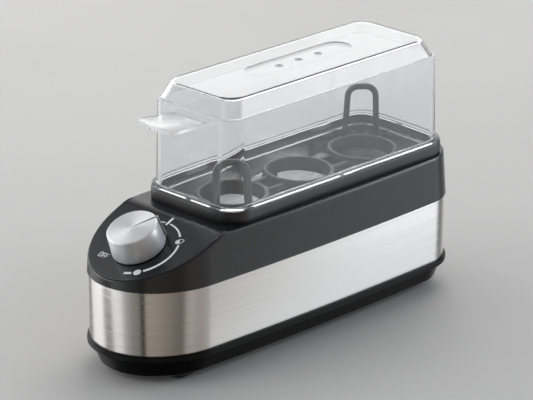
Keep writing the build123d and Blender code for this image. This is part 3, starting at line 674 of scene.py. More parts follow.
housing = {
    "overhang": 0.8,
    "draft": 3.8,
    "wall": 2.4,
    "crease": 0.7,
    "lip": 0.4,
    "underCollar": 3.0,
    "leanRounds": 4,  # the top's lean and height hang on each other, and settle in a few rounds
    "lipSteps": 3,
    "wallSteps": 12,
    "creaseSteps": 7,
    "roofSteps": 120,
    "ceilingSteps": 24,
    "sharp": 40,
}


# distance along a path from its start
def travelled(path):
    return np.concatenate(([0], np.cumsum(np.linalg.norm(np.diff(path, axis=0), axis=1))))


# distances at which a rim's sides start and end, on its right half and mirrored on its left
def sideMarks(lengths, sideStart, sideSteps):
    half = lengths[[0, sideStart, sideStart + sideSteps, len(lengths) // 2]]
    return np.concatenate((half, lengths[-1] - half[-2::-1]))


# wall rows climb from the band to the roof and lean in; a small arc turns over the crease;
# roof rows go evenly from there to a ring under the collar, at the height of deck and panel; then back inside
def makeHousing():
    spots, aways = rimOfBody
    overhang, wall, crease, lip = [housing[key] for key in ("overhang", "wall", "crease", "lip")]
    lean = tan(radians(housing["draft"]))

    # body's rim moved out, at the roof's height less a drop, or at a level
    def ringAt(grow, drop=0.0, level=None):
        flat = spots + np.reshape(grow, (-1, 1)) * aways
        return raised(flat, roofHeight(flat[:, 1]) - drop if level is None else level)

    topGrow = overhang
    for repeat in range(housing["leanRounds"]):
        topGrow = overhang - (ringAt(topGrow)[:, 2] - bandTop) * lean
    top = ringAt(topGrow)[:, 2] - crease
    rows = [ringAt(overhang - wall, level=bandTop)]
    for turn in np.linspace(0, pi / 2, housing["lipSteps"] + 1):
        rows.append(ringAt(overhang - lip * (1 - sin(turn)), level=bandTop + lip * (1 - cos(turn))))
    for share in np.linspace(0, 1, housing["wallSteps"] + 1)[1:]:
        level = bandTop + lip + (top - bandTop - lip) * share
        rows.append(ringAt(overhang - (level - bandTop) * lean, level=level))
    for turn in np.linspace(0, pi / 2, housing["creaseSteps"] + 1)[1:]:
        rows.append(ringAt(topGrow - crease * (1 - cos(turn)), crease * (1 - sin(turn))))
    outer = rows[-1][:, :2]
    wellSpots = rimOfWell[0] - housing["underCollar"] * rimOfWell[1]
    lengths, wellLengths = travelled(outer), travelled(wellSpots)
    sideStart = bodyShape["noseSteps"] + bodyShape["bendSteps"]
    wellSideStart = wellShape["endSteps"] + wellShape["cornerSteps"]
    bodyMarks = sideMarks(lengths, sideStart, bodyShape["sideSteps"])
    wellMarks = sideMarks(wellLengths, wellSideStart, wellShape["sideSteps"])
    along = np.interp(lengths, bodyMarks, wellMarks)
    inner = np.stack([np.interp(along, wellLengths, wellSpots[:, axis]) for axis in (0, 1)], axis=1)
    roof = between(outer, inner, housing["roofSteps"])[1:]
    ceiling = between(inner, spots + (topGrow - wall)[:, None] * aways, housing["ceilingSteps"])
    surface = np.concatenate((
        rows,
        raised(roof, roofHeight(roof[..., 1])),
        raised(ceiling, roofHeight(ceiling[..., 1]) - wall),
        rows[:1],
    ))
    makePiece("upperHousing", [surface], "body", "housing_plastic", ("upper_housing",), housing["sharp"])


makeHousing()
print("housing made")

# collar round the well

collar = {
    "gap": 0.6,
    "footInset": 0.8,
    "footWidth": 1.0,
    "wall": 3.4,
    "rounds": (0, 0.1, 0.35, 0.9, 0.7, 0.2, 0, 0),
}


# closed profile with a shadow gap at its foot, carried round the well's rim
def makeCollar():
    gapTop = deckLevel + collar["gap"]
    footOut = -collar["footInset"]
    footIn = footOut - collar["footWidth"]
    corners = [
        (footOut, deckLevel),
        (footOut, gapTop),
        (0, gapTop),
        (0, collarTop),
        (-collar["wall"], collarTop),
        (-collar["wall"], dishTop),
        (footIn, dishTop),
        (footIn, deckLevel),
    ]
    ring = carriedRound(roundedProfile(corners, collar["rounds"], True), rimOfWell)
    makePiece("rimCollar", [ring], "body", "collar_plastic", ("rim_collar",))


makeCollar()

# drawn steel dish

dish = {
    "flangeInset": 2.0,
    "inset": 4.8,
    "thickness": 0.6,
    "floorBend": 3.0,
    "flangeRounds": (0.5, 0.1, 0.1, 1.1),
    "floorStrip": 8.0,  # outer part of the floor, where its middle sheet starts
    "bendSteps": 8,
}


# sheet-metal profile carried round the well's rim, and two level sheets for the floor
def makeDish():
    flange, outer = -dish["flangeInset"], -dish["inset"]
    inner = outer - dish["thickness"]
    floorHigh, floorLow = rackFloor, rackFloor - dish["thickness"]
    flangeLow = dishTop - dish["thickness"]
    corners = [
        (inner - dish["floorStrip"], floorLow),
        (outer, floorLow),
        (outer, flangeLow),
        (flange, flangeLow),
        (flange, dishTop),
        (inner, dishTop),
        (inner, floorHigh),
        (inner - dish["floorStrip"], floorHigh),
    ]
    bend = dish["floorBend"]
    rounds = (0, bend + dish["thickness"], *dish["flangeRounds"], bend, 0)
    tray = carriedRound(roundedProfile(corners, rounds, False, dish["bendSteps"]), rimOfWell)
    under = between(tray[0], (0, wellMiddle, floorLow))
    inside = between(tray[-1], (0, wellMiddle, floorHigh))
    makePiece("heatingDish", [tray, under, inside], "body", "dish_steel", ("heating_dish",))


makeDish()

# rack with its cups and two finger loops

rack = {
    "pitch": 47.0,
    "cups": 3,
    "cupRadius": 16.0,
    "cupWall": 2.2,
    "cupBottom": 4.6,
    "cupTop": 12.6,
    "cupRounds": (0.5, 0.7, 0.9, 0.9),
    "legHalfX": 0.9,
    "legHalfY": 2.0,
    "legCorner": 0.7,
    "legEdge": 0.4,
    "legOverlap": 0.8,
    "webX": 6.0,
    "webHalf": 1.2,
    "webBottom": 5.6,
    "webTop": 10.6,
    "webCorner": 0.5,
    "webEdge": 0.6,
    "webOverlap": 1.0,
    "sharp": 40,
    "loop": {
        "reach": 25.0,  # from the middle of its cup
        "top": 39.6,
        "topWidth": 17.4,
        "footWidth": 20.0,
        "bar": 3.2,
        "barRound": 1.0,
        "corner": 5.6,
        "cornerSteps": 10,
        "legSteps": 8,
        "trayHalf": 10.0,
        "trayRise": 5.1,
        "trayHeight": 3.0,
        "trayCorner": 2.4,
        "trayEdge": 0.7,
        "trayGap": 0.6,  # the tray starts this far out from the cup's inner wall
    },
}
loop = rack["loop"]


# finger loop, a bar carried along an arch, and the tray under its foot, both before they are placed
def loopParts():
    bar, corner = loop["bar"], loop["corner"]
    footHalf, topHalf = (loop["footWidth"] - bar) / 2, (loop["topWidth"] - bar) / 2
    topLine = loop["top"] - bar / 2
    footLine = loop["trayRise"] + loop["trayHeight"] / 2
    corners = [(-footHalf, footLine), (-topHalf, topLine), (topHalf, topLine), (footHalf, footLine)]
    path = roundedProfile(corners, (0, corner, corner, 0), False, loop["cornerSteps"])
    up = np.linspace(path[0], path[1], loop["legSteps"])[:-1]
    down = np.linspace(path[-2], path[-1], loop["legSteps"])[1:]
    section = roundedBox(bar / 2, bar / 2, loop["barRound"])
    arch = carriedAlong(np.concatenate((up, path[1:-1], down)), section)
    start, end = rack["cupRadius"] + loop["trayGap"], loop["reach"] + bar / 2
    tray = roundedBox((end - start) / 2, loop["trayHalf"], loop["trayCorner"], ((start + end) / 2, 0))
    tray = softBlock(tray, loop["trayRise"], loop["trayRise"] + loop["trayHeight"], loop["trayEdge"])
    return arch, tray


# cup profiles turned round their axes; legs, webs and trays are soft-edged blocks
def makeRack():
    radius, wall = rack["cupRadius"], rack["cupWall"]
    wallMiddle = radius + wall / 2
    cups = wellMiddle + evenly(rack["cups"], rack["pitch"])
    low, high = rackFloor + rack["cupBottom"], rackFloor + rack["cupTop"]
    corners = [(radius, low), (radius + wall, low), (radius + wall, high), (radius, high)]
    profile = roundedProfile(corners, rack["cupRounds"], True)
    grids = []
    for y in cups:
        grids.append(turnedRound(profile) + np.array([0, y, 0]))
        for x in (-wallMiddle, wallMiddle):
            leg = roundedBox(rack["legHalfX"], rack["legHalfY"], rack["legCorner"], (x, y))
            grids.append(softBlock(leg, rackFloor, low + rack["legOverlap"], rack["legEdge"]))
    webHalfLength = rack["pitch"] / 2 - wallMiddle + rack["webOverlap"]
    webLow, webHigh = rackFloor + rack["webBottom"], rackFloor + rack["webTop"]
    for y in (cups[:-1] + cups[1:]) / 2:
        for x in (-rack["webX"], rack["webX"]):
            web = roundedBox(rack["webHalf"], webHalfLength, rack["webCorner"], (x, y))
            grids.append(softBlock(web, webLow, webHigh, rack["webEdge"]))
    arch, tray = loopParts()
    up = (0, 0, 1)
    for y, outward in ((cups[0], unit(np.array([1, -1, 0]))), (cups[-1], unit(np.array([-1, 1, 0])))):
        sideways = np.cross(up, outward)
        grids.append(placed(arch, (0, y, rackFloor) + outward * loop["reach"], sideways, up, outward))
        grids.append(placed(tray, (0, y, rackFloor), outward, sideways, up))
    makePiece("eggRack", grids, "rack", "rack_plastic", ("egg_rack",), rack["sharp"])


makeRack()
print("collar, dish and rack made")

# clear lid

lid = {
    "flangeInset": 0.3,
    "flangeHeight": 1.6,
    "flangeRounds": (0.3, 0.4, 0.7),
    "footInset": 2.7,
    "shoulderInset": 3.7,
    "wall": 1.8,
    "chamferHeight": 9.3,
    "chamferAngle": 30.0,
    "ledge": 1.1,  # small step where the chamfer starts
    "ledgeRise": 0.15,
    "ledgeRound": 0.4,
    "topRound": 1.6,
    "topCorner": 8.7,  # the chamfer keeps the corners this round
    "topStrip": 2.5,  # outer part of the top, where its middle sheet starts
    "ceilingStrip": 4.0,
    "ceilingShare": 0.62,  # of the wall, from the top's edge in to the ceiling's
    "arcSteps": 6,
    "sheetSteps": 10,
    "rimSteps": 2,
    "sharp": 30,
    "recess": {"halfLength": 35.0, "halfWidth": 8.0, "depth": 0.8, "steps": 32},
    "holes": {"count": 3, "pitch": 14.0, "radius": 2.2},
    "keys": {
        "x": 27.7,
        "step": 45.0,
        "halfWidth": 0.9,
        "halfLength": 7.0,
        "corner": 0.6,
        "edge": 0.3,
        "gap": 0.02,
    },
}
recess, steamHoles, lidKeys = lid["recess"], lid["holes"], lid["keys"]
grip = {
    "length": 25.6,
    "rootHalf": 11.0,
    "rootDepth": 0.4,
    "endHalf": 14.2,
    "bulge": 2.2,
    "nose": 0.35,  # the front's middle stands out by this too
    "noseRound": 12.0,
    "corner": 5.0,
    "cornerSteps": 8,
    "thickness": 2.0,
    "edge": 0.45,
    "drop": 3.6,
    "tilt": 4.0,
    "forward": 0.1,
}


# floor of the recess at one level: a square round each hole that closes in on it, and two rounded ends;
# then the recess's outer rim and the rims of the holes
def recessFloor(level):
    halfWidth, steps, pitch = recess["halfWidth"], recess["steps"], steamHoles["pitch"]
    half, reach = pitch / 2, steamHoles["count"] * pitch / 2
    side = np.linspace(-1, 1, steps + 1)
    right = np.stack((np.full(steps + 1, halfWidth), side * half), axis=1)
    rear = np.stack((-side * halfWidth, np.full(steps + 1, half)), axis=1)
    square = np.concatenate((right[:-1], rear[:-1], -right[:-1], -rear))
    ring = steamHoles["radius"] * compass(np.arctan2(square[:, 1] / half, square[:, 0] / halfWidth))
    patches = [between(square, ring) + (0, y) for y in evenly(steamHoles["count"], pitch)]
    straight, arc = recess["halfLength"] - halfWidth - reach, pi * halfWidth
    travel = np.linspace(0, arc + 2 * straight, steps + 1)
    bend = np.clip((travel - straight) / halfWidth, 0, pi)
    lift = np.clip(travel, 0, straight) - np.clip(travel - straight - arc, 0, straight)
    end = halfWidth * compass(bend) + np.stack((0 * lift, reach + lift), axis=1)
    cap = between(rear + (0, reach - half), end)
    flankSteps = steamHoles["count"] * steps
    flank = np.linspace((-halfWidth, reach), (-halfWidth, -reach), flankSteps + 1)[:-1]
    rim = np.concatenate((end[steps // 2:-1], flank, -end[:-1], -flank, end[:steps // 2 + 1]))
    middle = (0, wellMiddle)
    grids = [raised(grid + middle, level) for grid in (*patches, cap, -cap)]
    return grids, raised(rim + middle, level), [raised(patch[-1] + middle, level) for patch in patches]


# lid ring for each point of a profile: a rounded rectangle whose corner never gets tighter than the top's
def lidRings(profile, tightest):
    rings = []
    for grow, level in profile:
        spots = wellRim(-grow, max(wellShape["corner"] + grow, tightest))[0]
        half = len(spots) // 2
        rings.append(raised(np.concatenate((spots[half:-1], spots[:half + 1])), level))  # starts at the rear
    return np.stack(rings)


# tab with a bowed front, a soft-edged block tilted a little against the lid's front wall
def makeGrip(shoulder):
    endHalf, bow = grip["endHalf"], grip["bulge"] - grip["length"]
    nose = grip["bulge"] / 9 - grip["length"] - grip["nose"]  # the bow falls with the square of a third
    corners = [(grip["rootHalf"], grip["rootDepth"]), (-grip["rootHalf"], grip["rootDepth"])]
    corners += [(-endHalf, bow), (-endHalf / 3, nose), (endHalf / 3, nose), (endHalf, bow)]
    rounds = (0, 0, grip["corner"], grip["noseRound"], grip["noseRound"], grip["corner"])
    tab = roundedProfile(corners, rounds, True, grip["cornerSteps"])
    tab = softBlock(tab, -grip["thickness"], 0, grip["edge"])
    tilt = radians(grip["tilt"])
    root = (0, collarLow[1] + lid["shoulderInset"] - grip["forward"], shoulder - grip["drop"])
    tab = placed(tab, root, (1, 0, 0), (0, cos(tilt), -sin(tilt)), (0, sin(tilt), cos(tilt)))
    makePiece("lidGrip", [tab], "cover", "clear_plastic", (), lid["sharp"], frostedGrip)


# outer and inner profile as rings, level sheets from their tops to the recess, walls of recess and holes
def makeLid():
    low, top, wall = collarTop, lidHigh[2], lid["wall"]
    slant = tan(radians(lid["chamferAngle"]))
    shoulder, ceiling = top - lid["chamferHeight"], top - wall
    innerShoulder = shoulder - wall * slant / 2
    flangeTop = low + lid["flangeHeight"]
    topEdge = -lid["shoulderInset"] - lid["chamferHeight"] * slant
    ledgeEdge = -lid["shoulderInset"] - lid["ledge"]
    ledgeRounds = (lid["ledgeRound"], lid["ledgeRound"], lid["topRound"], 0)
    outside = [
        (-lid["footInset"] - wall, low),
        (-lid["flangeInset"], low),
        (-lid["flangeInset"], flangeTop),
        (-lid["footInset"], flangeTop),
        (-lid["shoulderInset"], shoulder),
        (ledgeEdge, shoulder + lid["ledgeRise"]),
        (topEdge, top),
        (topEdge - lid["topStrip"], top),
    ]
    inside = [
        (-lid["footInset"] - wall, low),
        (-lid["shoulderInset"] - wall, innerShoulder),
        (ledgeEdge - wall, innerShoulder + lid["ledgeRise"]),
        (topEdge - wall * lid["ceilingShare"], ceiling),
        (topEdge - lid["ceilingStrip"], ceiling),
    ]
    outside = roundedProfile(outside, (0, *lid["flangeRounds"], *ledgeRounds), False, lid["arcSteps"])
    inside = roundedProfile(inside, (0, *ledgeRounds), False, lid["arcSteps"])
    outer = lidRings(outside, lid["topCorner"])
    inner = lidRings(inside, lid["topCorner"] - wall)
    floor, floorRim, holes = recessFloor(top - recess["depth"])
    under, underRim, underHoles = recessFloor(ceiling)
    lip = raised(floorRim[:, :2], top)
    arcRows = lid["arcSteps"] + 1
    ledgeStart, ledgeEnd = 1 + 3 * arcRows, 5 * arcRows  # rows of the outside after the foot and three arcs
    grids = [outer[:ledgeStart + 1], outer[ledgeEnd:], inner]
    grids += [between(outer[-1], lip, lid["sheetSteps"]), between(inner[-1], underRim, lid["sheetSteps"])]
    grids += floor + under
    # the ledge and the rims of the recess and holes take the finish with the painted highlight
    paintedHighlightRows = [outer[ledgeStart:ledgeEnd + 1], between(lip, floorRim, lid["rimSteps"])]
    paintedHighlightRows += [between(upper, lower, lid["rimSteps"]) for upper, lower in zip(holes, underHoles)]
    for x in (-lidKeys["x"], lidKeys["x"]):
        for y in (wellMiddle - lidKeys["step"], wellMiddle + lidKeys["step"]):
            key = roundedBox(lidKeys["halfWidth"], lidKeys["halfLength"], lidKeys["corner"], (x, y))
            grids.append(softBlock(key, lidLow[2], low - lidKeys["gap"], lidKeys["edge"]))
    makePiece(
        "clearLid", grids, "cover", "clear_plastic", ("lid",), lid["sharp"], second=paintedHighlightEdge, secondGrids=paintedHighlightRows
    )
    makeGrip(shoulder)


makeLid()
print("lid made")

# knob and its pointer

knob = {
    "baseRadius": 13.8,
    "topRadius": 12.9,
    "gap": 0.6,
    "top": 12.8,
    "rimBevel": 0.5,
    "bevelOut": 0.02,
    "wall": 1.0,
    "innerRadius": 12.4,
    "rounds": (0, 0.3, 0.1, 0.25, 0.15, 0.12, 0, 0),
    "arcSteps": 3,
    "topShare": 0.97,  # the rings of the top start here
    "topSteps": 39,
    "turnSteps": 144,
    "pointerAngle": 60.5,
    "sharp": 25,
    "groove": {
        "half": 0.8,  # at the rim; it narrows towards the middle
        "tip": 0.25,
        "depth": 0.6,
        "start": 0.8,
        "past": 2,  # the cut ends this far past the knob's foot, and over its top
        "round": 0.2,
        "edge": 0.1,
    },
}
groove = knob["groove"]
inlay = {"drop": 0.3, "narrow": 0.1, "endGap": 0.15, "rounds": (0.1, 0.2, 0.2, 0.1), "edge": 0.05}
rib = {
    "top": 0.9,
    "foot": 1.2,
    "half": 0.9,
    "inset": 1.2,
    "rise": 0.6,  # of its foot over the knob's
    "topDrop": 0.1,
    "paintedHighlightWidth": 0.5,  # width of its outer edge, whose lighter colour is a painted highlight
    "proud": 0.05,  # the edge with the painted highlight stands out by this
    "round": 0.3,
    "paintedHighlightRound": 0.15,
    "arcSteps": 4,
    "edge": 0.1,
}
panelUp = np.array([0, cos(panelTurn), sin(panelTurn)])
panelOut = np.array([0, -sin(panelTurn), cos(panelTurn)])
knobRise = panelShape["knobBack"] * tan(panelTurn)
knobMiddle = np.array([0, noseTip + panelShape["knobBack"], panelFront + knobRise])


# points given on the panel: across, up the slope and out of it
def onPanel(points):
    return placed(points, knobMiddle, (1, 0, 0), panelUp, panelOut)


# points on the panel, turned about the knob's axis to where the pointer is
def atPointer(points):
    turn = radians(knob["pointerAngle"])
    return onPanel(points @ np.array([[cos(turn), sin(turn), 0], [-sin(turn), cos(turn), 0], [0, 0, 1]]))


# cup profile turned round the knob's axis, with a tapered groove cut into its top
def makeKnobShell():
    top, bevel, gap, ceiling = knob["top"], knob["rimBevel"], knob["gap"], knob["top"] - knob["wall"]
    corners = [
        (0, ceiling),
        (knob["innerRadius"], ceiling),
        (knob["innerRadius"], gap),
        (knob["baseRadius"], gap),
        (knob["topRadius"] + knob["bevelOut"], top - bevel),
        (knob["topRadius"] - bevel, top),
        (knob["topRadius"] * knob["topShare"] - bevel, top),
        (0, top),
    ]
    profile = roundedProfile(corners, knob["rounds"], False, knob["arcSteps"])
    profile = np.concatenate((profile[:-2], between(profile[-2:-1], profile[-1], knob["topSteps"])[:, 0]))
    arcRows = knob["arcSteps"] + 1
    sideStart, sideEnd = 1 + 2 * arcRows, 1 + 3 * arcRows  # rows from the foot's edge to the bevel
    stretches = (profile[:sideStart + 1], profile[sideEnd:], profile[sideStart:sideEnd + 1])
    parts = [onPanel(turnedRound(rows, knob["turnSteps"])) for rows in stretches]
    shell = makePiece(
        "knobShell", parts[:2], "knob", "knob_aluminium", ("knob_shell",), knob["sharp"],
        second=turnedSide, secondGrids=parts[2:]
    )
    start, end = groove["start"], knob["baseRadius"] + groove["past"]
    wide, tip = groove["half"], groove["tip"]
    corners = [(start, -tip), (end, -wide), (end, wide), (start, tip)]
    cut = roundedProfile(corners, (groove["round"], 0, 0, groove["round"]), True)
    cut = softBlock(cut, top - groove["depth"], top + groove["past"], groove["edge"])
    cutAway(shell, [atPointer(cut)], knob["sharp"])


# two blocks on the knob's side, the second for the outer edge, whose lighter colour is a painted highlight,
# drawn from the side and stood up
def makeKnobRib():
    foot, top, paintedHighlightWidth = knob["gap"] + rib["rise"], knob["top"] - rib["topDrop"], rib["paintedHighlightWidth"]
    inner = knob["topRadius"] - rib["inset"]
    footOut, topOut = knob["baseRadius"] + rib["foot"], knob["topRadius"] + rib["top"]
    side = [(inner, knob["top"] - groove["depth"]), (inner, foot), (footOut, foot), (topOut, top)]
    edge = [
        (topOut - paintedHighlightWidth, top),
        (footOut - paintedHighlightWidth, foot),
        (footOut + rib["proud"], foot),
        (topOut + rib["proud"], top + rib["proud"]),
    ]
    parts = []
    for corners, radius, half in (
        (side, rib["round"], rib["half"]), (edge, rib["paintedHighlightRound"], rib["half"] + rib["proud"])
    ):
        outline = roundedProfile(corners, (0, 0, radius, radius), True, rib["arcSteps"])
        block = softBlock(outline, -half, half, rib["edge"])
        parts.append(atPointer(np.stack((block[..., 0], -block[..., 2], block[..., 1]), axis=-1)))
    makePiece(
        "knobRib", parts[:1], "knob", "knob_aluminium", (), knob["sharp"], finishes["pointer_inlay"],
        ribEdgePaintedHighlight, parts[1:]
    )


# thin block that lies in the groove
def makeKnobPointer():
    narrow, end = inlay["narrow"], knob["topRadius"] - knob["rimBevel"] - inlay["endGap"]
    start, wide, tip = groove["start"] + narrow, groove["half"] - narrow, groove["tip"] - narrow
    corners = [(start, -tip), (end, -wide), (end, wide), (start, tip)]
    line = roundedProfile(corners, inlay["rounds"], True)
    line = softBlock(line, knob["top"] - groove["depth"], knob["top"] - inlay["drop"], inlay["edge"])
    makePiece("knobPointer", [atPointer(line)], "knob", "pointer_inlay", ("knob_pointer",))


makeKnobShell()
makeKnobRib()
makeKnobPointer()

# marks printed on the panel

marks = {
    "middle": (1.3, 0.6),  # of the scale, from the knob's axis
    "radius": 19.4,
    "lift": 0.04,
    "sink": 0.05,
    "edge": 0.02,
    "steps": 40,
    "arcs": (  # from, to, widths
        (-43.7, 27.4, 1.5, 1.1), (46.7, 86.0, 1.1, 0.7), (96.0, 114.0, 0.6, 0.4), (-73.6, -61.4, 1.5, 1.5)
    ),
    "tick": (91.3, 18.0, 23.6, 1.3),  # angle, from, to, width
    "tickSteps": 6,
    "dot": (-52.5, 2.0),  # angle, radius
    "ovals": ((35.7, 46.0, True), (123.0, 123.0, False)),  # angle, lean, half filled
    "ovalSize": (2.2, 1.5),
    "ovalTaper": 0.18,
    "ovalLine": 0.36,
    "word": {
        "middle": (-13.45, -12.3),
        "height": 3.35,
        "ring": 2.0,
        "ringRound": 0.6,
        "arm": 1.45,
        "gap": 0.45,
        "stroke": 0.36,
    },
}


# printed line: a low box section that follows a path, with its own width at each point
def printLine(path, widths):
    low, high = -marks["sink"], marks["lift"]
    section = np.array([(-0.5, low), (-0.5, high), (0.5, high), (0.5, low), (-0.5, low)])
    return carriedAlong(path, section, np.broadcast_to(widths, len(path)))


# path on the scale's circle between two angles in degrees
def scalePath(start, end, count):
    return np.array(marks["middle"]) + marks["radius"] * compass(np.radians(np.linspace(start, end, count)))


# closed shape on the panel as a thin slab
def printSlab(outline):
    return softBlock(outline, -marks["sink"], marks["lift"], marks["edge"])


# scale: arcs that get thinner, a tick across, a dot, and tapered ovals of which one is half filled
def scaleMarks():
    steps = marks["steps"]
    grids = []
    for start, end, width, lastWidth in marks["arcs"]:
        grids.append(printLine(scalePath(start, end, steps), np.linspace(width, lastWidth, steps)))
    angle, near, far, width = marks["tick"]
    reach = np.linspace(near, far, marks["tickSteps"])[:, None]
    grids.append(printLine(np.array(marks["middle"]) + reach * compass(radians(angle)), width))
    turn = np.linspace(0, 2 * pi, steps + 1)
    angle, size = marks["dot"]
    grids.append(printSlab(scalePath(angle, angle, 1) + size * compass(turn)))
    length, width = marks["ovalSize"]
    taper = 1 - marks["ovalTaper"] * np.cos(turn)
    oval = np.stack((length * np.cos(turn), width * taper * np.sin(turn)), axis=1)
    for angle, lean, filled in marks["ovals"]:
        lean = radians(lean)
        spin = np.array([[cos(lean), sin(lean)], [-sin(lean), cos(lean)]])
        outline = scalePath(angle, angle, 1) + oval @ spin
        grids.append(printLine(outline, marks["ovalLine"]))
        if filled:
            half = outline[steps // 4:3 * steps // 4 + 1]
            grids.append(printSlab(np.concatenate((half, half[:1]))))
    return grids


# the word OFF: a rounded ring, and twice a bar with two arms
def wordMarks():
    word = marks["word"]
    stroke, arm = word["stroke"], word["arm"]
    halfHeight = (word["height"] - stroke) / 2
    ring = roundedBox((word["ring"] - stroke) / 2, halfHeight, word["ringRound"], (word["ring"] / 2, 0))
    barEnd = halfHeight + stroke / 2
    bar = np.array([[stroke / 2, -barEnd], [stroke / 2, 0], [stroke / 2, barEnd]])
    line = np.array([[stroke / 2, 0], [arm / 2, 0], [arm, 0]])
    barWithArms = [bar, line, line + (0, halfHeight)]
    starts = np.cumsum([0, word["ring"] + word["gap"], arm + word["gap"]])
    corner = np.array(word["middle"]) - ((starts[-1] + arm) / 2, 0)
    grids = []
    for start, strokes in zip(starts, ([ring], barWithArms, barWithArms)):
        grids += [printLine(path + corner + (start, 0), stroke) for path in strokes]
    return grids


printed = [onPanel(grid) for grid in scaleMarks() + wordMarks()]
makePiece("panelMarks", printed, "body", "pointer_inlay", finish=printWhite)
print("knob and panel marks made")

# floor, sky, lamps and camera

stage = {
    "floorHalf": 6.0,
    "floorSteps": 8,
    "floorColour": (0.61, 0.60, 0.59),
    "floorClouds": (0.96, 1.04),  # darkest and lightest part of that colour
    "floorGrain": (300.0, 3.0),
    "floorRoughness": 0.75,
    "floorSpecular": 0.25,
    "seenSky": (0.60, 0.595, 0.59),
    "skyLight": (0.93, 0.96, 1.0),
    "skyStrength": 0.40,
    "ceiling": (0.10, 0.10, 0.105),
    "ground": (0.03, 0.03, 0.03),  # the shade close round the object
    "wallsEnd": (0.30, 0.46),  # how high the room's walls reach before the ceiling takes over
    "groundEnd": (-0.80, -0.55),
}
lamps = [
    # name, place, aim, width, height, power, colour, mirrored in gloss
    ("overhead", (-0.55, 1.05, 1.3), (0, 0, 0.06), 1.2, 1.0, 10.4, (1, 0.985, 0.965), False),
    ("frontFill", (-0.55, -1.1, 0.9), (0, -0.05, 0.07), 0.8, 0.8, 3.0, (1, 0.995, 0.99), False),
    ("backLeft", (-0.95, 1.0, 0.74), (0, 0.02, 0.1), 1.2, 0.8, 2.6, (1, 0.99, 0.98), True),
    ("rightRear", (0.78, 0.98, 0.62), (0, 0.04, 0.06), 0.8, 0.6, 3.6, (0.90, 0.955, 1), True),
    ("rightEdge", (0.72, 1.04, 0.07), (0, 0.05, 0.06), 0.55, 0.09, 2.2, (0.90, 0.955, 1), True),
    ("frontLeft", (-0.8, -0.8, 0.10), (0, -0.05, 0.06), 0.9, 0.26, 2.6, (1, 0.99, 0.97), True),
    ("leftSide", (-1.2, 0.1, 0.25), (0, -0.05, 0.06), 0.8, 0.3, 2.6, (1, 1, 1), True),
    ("panelGlow", (-0.47, -0.11, 0.40), (-0.01, -0.09, 0.06), 0.3, 0.3, 0.12, (0.97, 0.985, 1), True),
    ("knobGlint", (-0.865, -0.122, 0.90), (0, -0.09, 0.07), 0.4, 0.4, 0.6, (1, 1, 1), True),
]


# level square with a faint cloudy tone
def makeFloor():
    half = stage["floorHalf"] / mm
    side = np.linspace(-half, half, stage["floorSteps"] + 1)
    x, y = np.meshgrid(side, side)
    finish, tree, shader = startFinish("paleFloor")
    dark, light = [tuple(np.array(stage["floorColour"]) * cloud) for cloud in stage["floorClouds"]]
    feed(tree, shader, {
        "Base Color": tintFrom(tree, grainOf(tree, *stage["floorGrain"])["Cloud"], dark, light),
        "Roughness": stage["floorRoughness"],
        "Specular IOR Level": stage["floorSpecular"],
    })
    floor = makePiece("floor", [np.stack((x, y, 0 * x), axis=2)], None, None, finish=finish)
    floor.visible_glossy = False  # gloss mirrors the room's walls down to the ground


makeFloor()

# what metal and gloss mirror round the room: degrees from the right-hand side, and colour
roomWalls = (
    (-180, (1.1, 1.1, 1.1)), (-148, (1.25, 1.25, 1.25)), (-140, (0.34, 0.34, 0.34)),
    (-126, (0.34, 0.34, 0.34)), (-118, (1.1, 1.1, 1.1)), (-105, (1.05, 1.05, 1.05)),
    (-96, (0.55, 0.55, 0.54)), (-82, (0.32, 0.32, 0.30)), (-68, (0.27, 0.26, 0.23)),
    (-66, (0.03, 0.025, 0.02)), (-60, (0.03, 0.025, 0.02)), (-58, (0.46, 0.41, 0.35)),
    (-40, (0.40, 0.35, 0.30)), (-5, (0.18, 0.155, 0.135)), (1, (0.52, 0.47, 0.43)), (9, (0.54, 0.50, 0.46)),
    (16, (0.44, 0.41, 0.385)), (31, (0.46, 0.435, 0.415)), (37, (0.54, 0.52, 0.5)), (41, (0.80, 0.81, 0.81)),
    (44, (0.97, 0.99, 1.01)), (50, (1.06, 1.09, 1.13)), (66, (1.0, 1.02, 1.05)), (74, (0.3, 0.3, 0.3)),
    (92, (0.25, 0.25, 0.25)), (104, (0.6, 0.6, 0.6)), (150, (0.6, 0.6, 0.6)), (160, (0.25, 0.25, 0.25)),
    (172, (0.28, 0.28, 0.28)), (180, (1.1, 1.1, 1.1)),
)


# share of the way between two values, from nothing to all
def shareOf(tree, value, ends):
    settings = {"Value": value, "From Min": ends[0], "From Max": ends[1]}
    return addNode(tree, "MapRange", settings).outputs["Result"]


# two colours mixed by a share; the numbers are the sockets that a Mix node has for colours
def mixColours(tree, share, first, second):
    return addNode(tree, "Mix", {0: share, 6: first, 7: second}, data_type="RGBA").outputs[2]


# room seen in gloss: its walls by the direction's turn, the ceiling over them and the ground under them
def roomColour(tree):
    direction = addNode(tree, "TexCoord").outputs["Generated"]
    apart = addNode(tree, "SeparateXYZ", {0: direction}).outputs
    turn = addNode(tree, "Math", {0: apart["Y"], 1: apart["X"]}, operation="ARCTAN2").outputs[0]
    walls = addNode(tree, "ValToRGB", {"Fac": shareOf(tree, turn, (-pi, pi))})
    stops = walls.color_ramp.elements
    stops.remove(stops[1])
    stops[0].position, stops[0].color = 0.0, (*roomWalls[0][1], 1)
    for angle, colour in roomWalls[1:]:
        stops.new((angle + 180) / 360).color = (*colour, 1)
    rise, sink = [shareOf(tree, apart["Z"], stage[ends]) for ends in ("wallsEnd", "groundEnd")]
    above = mixColours(tree, rise, walls.outputs["Color"], (*stage["ceiling"], 1))
    return mixColours(tree, sink, (*stage["ground"], 1), above)


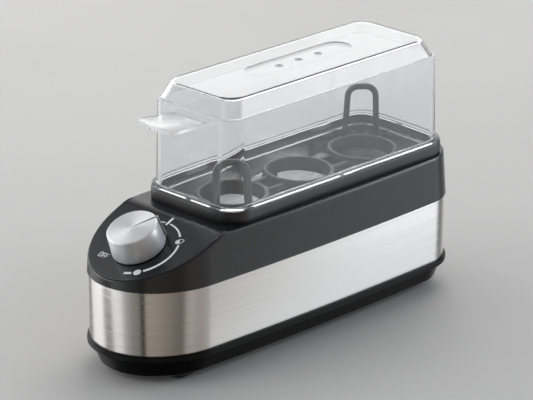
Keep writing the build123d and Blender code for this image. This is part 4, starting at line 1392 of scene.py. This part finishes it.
# sky: soft light on the object, a plain pale backdrop for the camera and through glass, the room for gloss
def makeSky():
    world = bpy.data.worlds.new("studioSky")
    bpy.context.scene.world = world
    world.use_nodes = True
    tree = world.node_tree
    tree.nodes.clear()

    # two numbers put together by an operation
    def combine(operation, first, second):
        return addNode(tree, "Math", {0: first, 1: second}, operation=operation).outputs[0]

    # first shader where the share is nothing, second where it is all
    def either(share, first, second):
        return addNode(tree, "MixShader", {"Fac": share, 1: first, 2: second}).outputs[0]

    # background of one colour
    def glow(colour, strength=1.0):
        return addNode(tree, "Background", {"Color": colour, "Strength": strength}).outputs[0]

    light = glow((*stage["skyLight"], 1), stage["skyStrength"])
    seen = glow((*stage["seenSky"], 1))
    room = glow(roomColour(tree))
    path = addNode(tree, "LightPath").outputs
    straight = combine("LESS_THAN", path["Glossy Depth"], 0.5)  # no gloss on the way so far
    through = combine("MULTIPLY", path["Is Transmission Ray"], straight)
    direct = combine("MAXIMUM", path["Is Camera Ray"], through)
    mirrored = combine("MAXIMUM", path["Is Glossy Ray"], path["Is Transmission Ray"])
    surface = either(direct, either(mirrored, light, room), seen)
    addNode(tree, "OutputWorld", {"Surface": surface})


makeSky()


# puts a lamp or the camera at a place, looking along a direction
def holdAt(name, data, place, ahead):
    holder = bpy.data.objects.new(name, data)
    holder.location = place
    holder.rotation_euler = Vector(ahead).to_track_quat("-Z", "Y").to_euler()
    bpy.context.scene.collection.objects.link(holder)
    return holder


for name, place, aim, width, height, power, colour, mirrored in lamps:
    lamp = bpy.data.lights.new(name, "AREA")
    lamp.shape, lamp.size, lamp.size_y = "RECTANGLE", width, height
    lamp.energy, lamp.color = power, colour
    holder = holdAt(name, lamp, place, Vector(aim) - Vector(place))
    holder.visible_camera, holder.visible_glossy = False, mirrored

view = {
    "place": (1.0787, -1.0814, 0.6397),
    "ahead": (-0.66096, 0.66265, -0.35217),
    "lens": 218.3,
    "sensor": 36.0,
    "clip": (0.05, 50),
}

lens = bpy.data.cameras.new("photoView")
lens.sensor_width, lens.lens = view["sensor"], view["lens"]
lens.clip_start, lens.clip_end = view["clip"]
bpy.context.scene.camera = holdAt("photoView", lens, view["place"], view["ahead"])
bpy.context.scene.view_settings.view_transform = "Standard"

print("scene made")
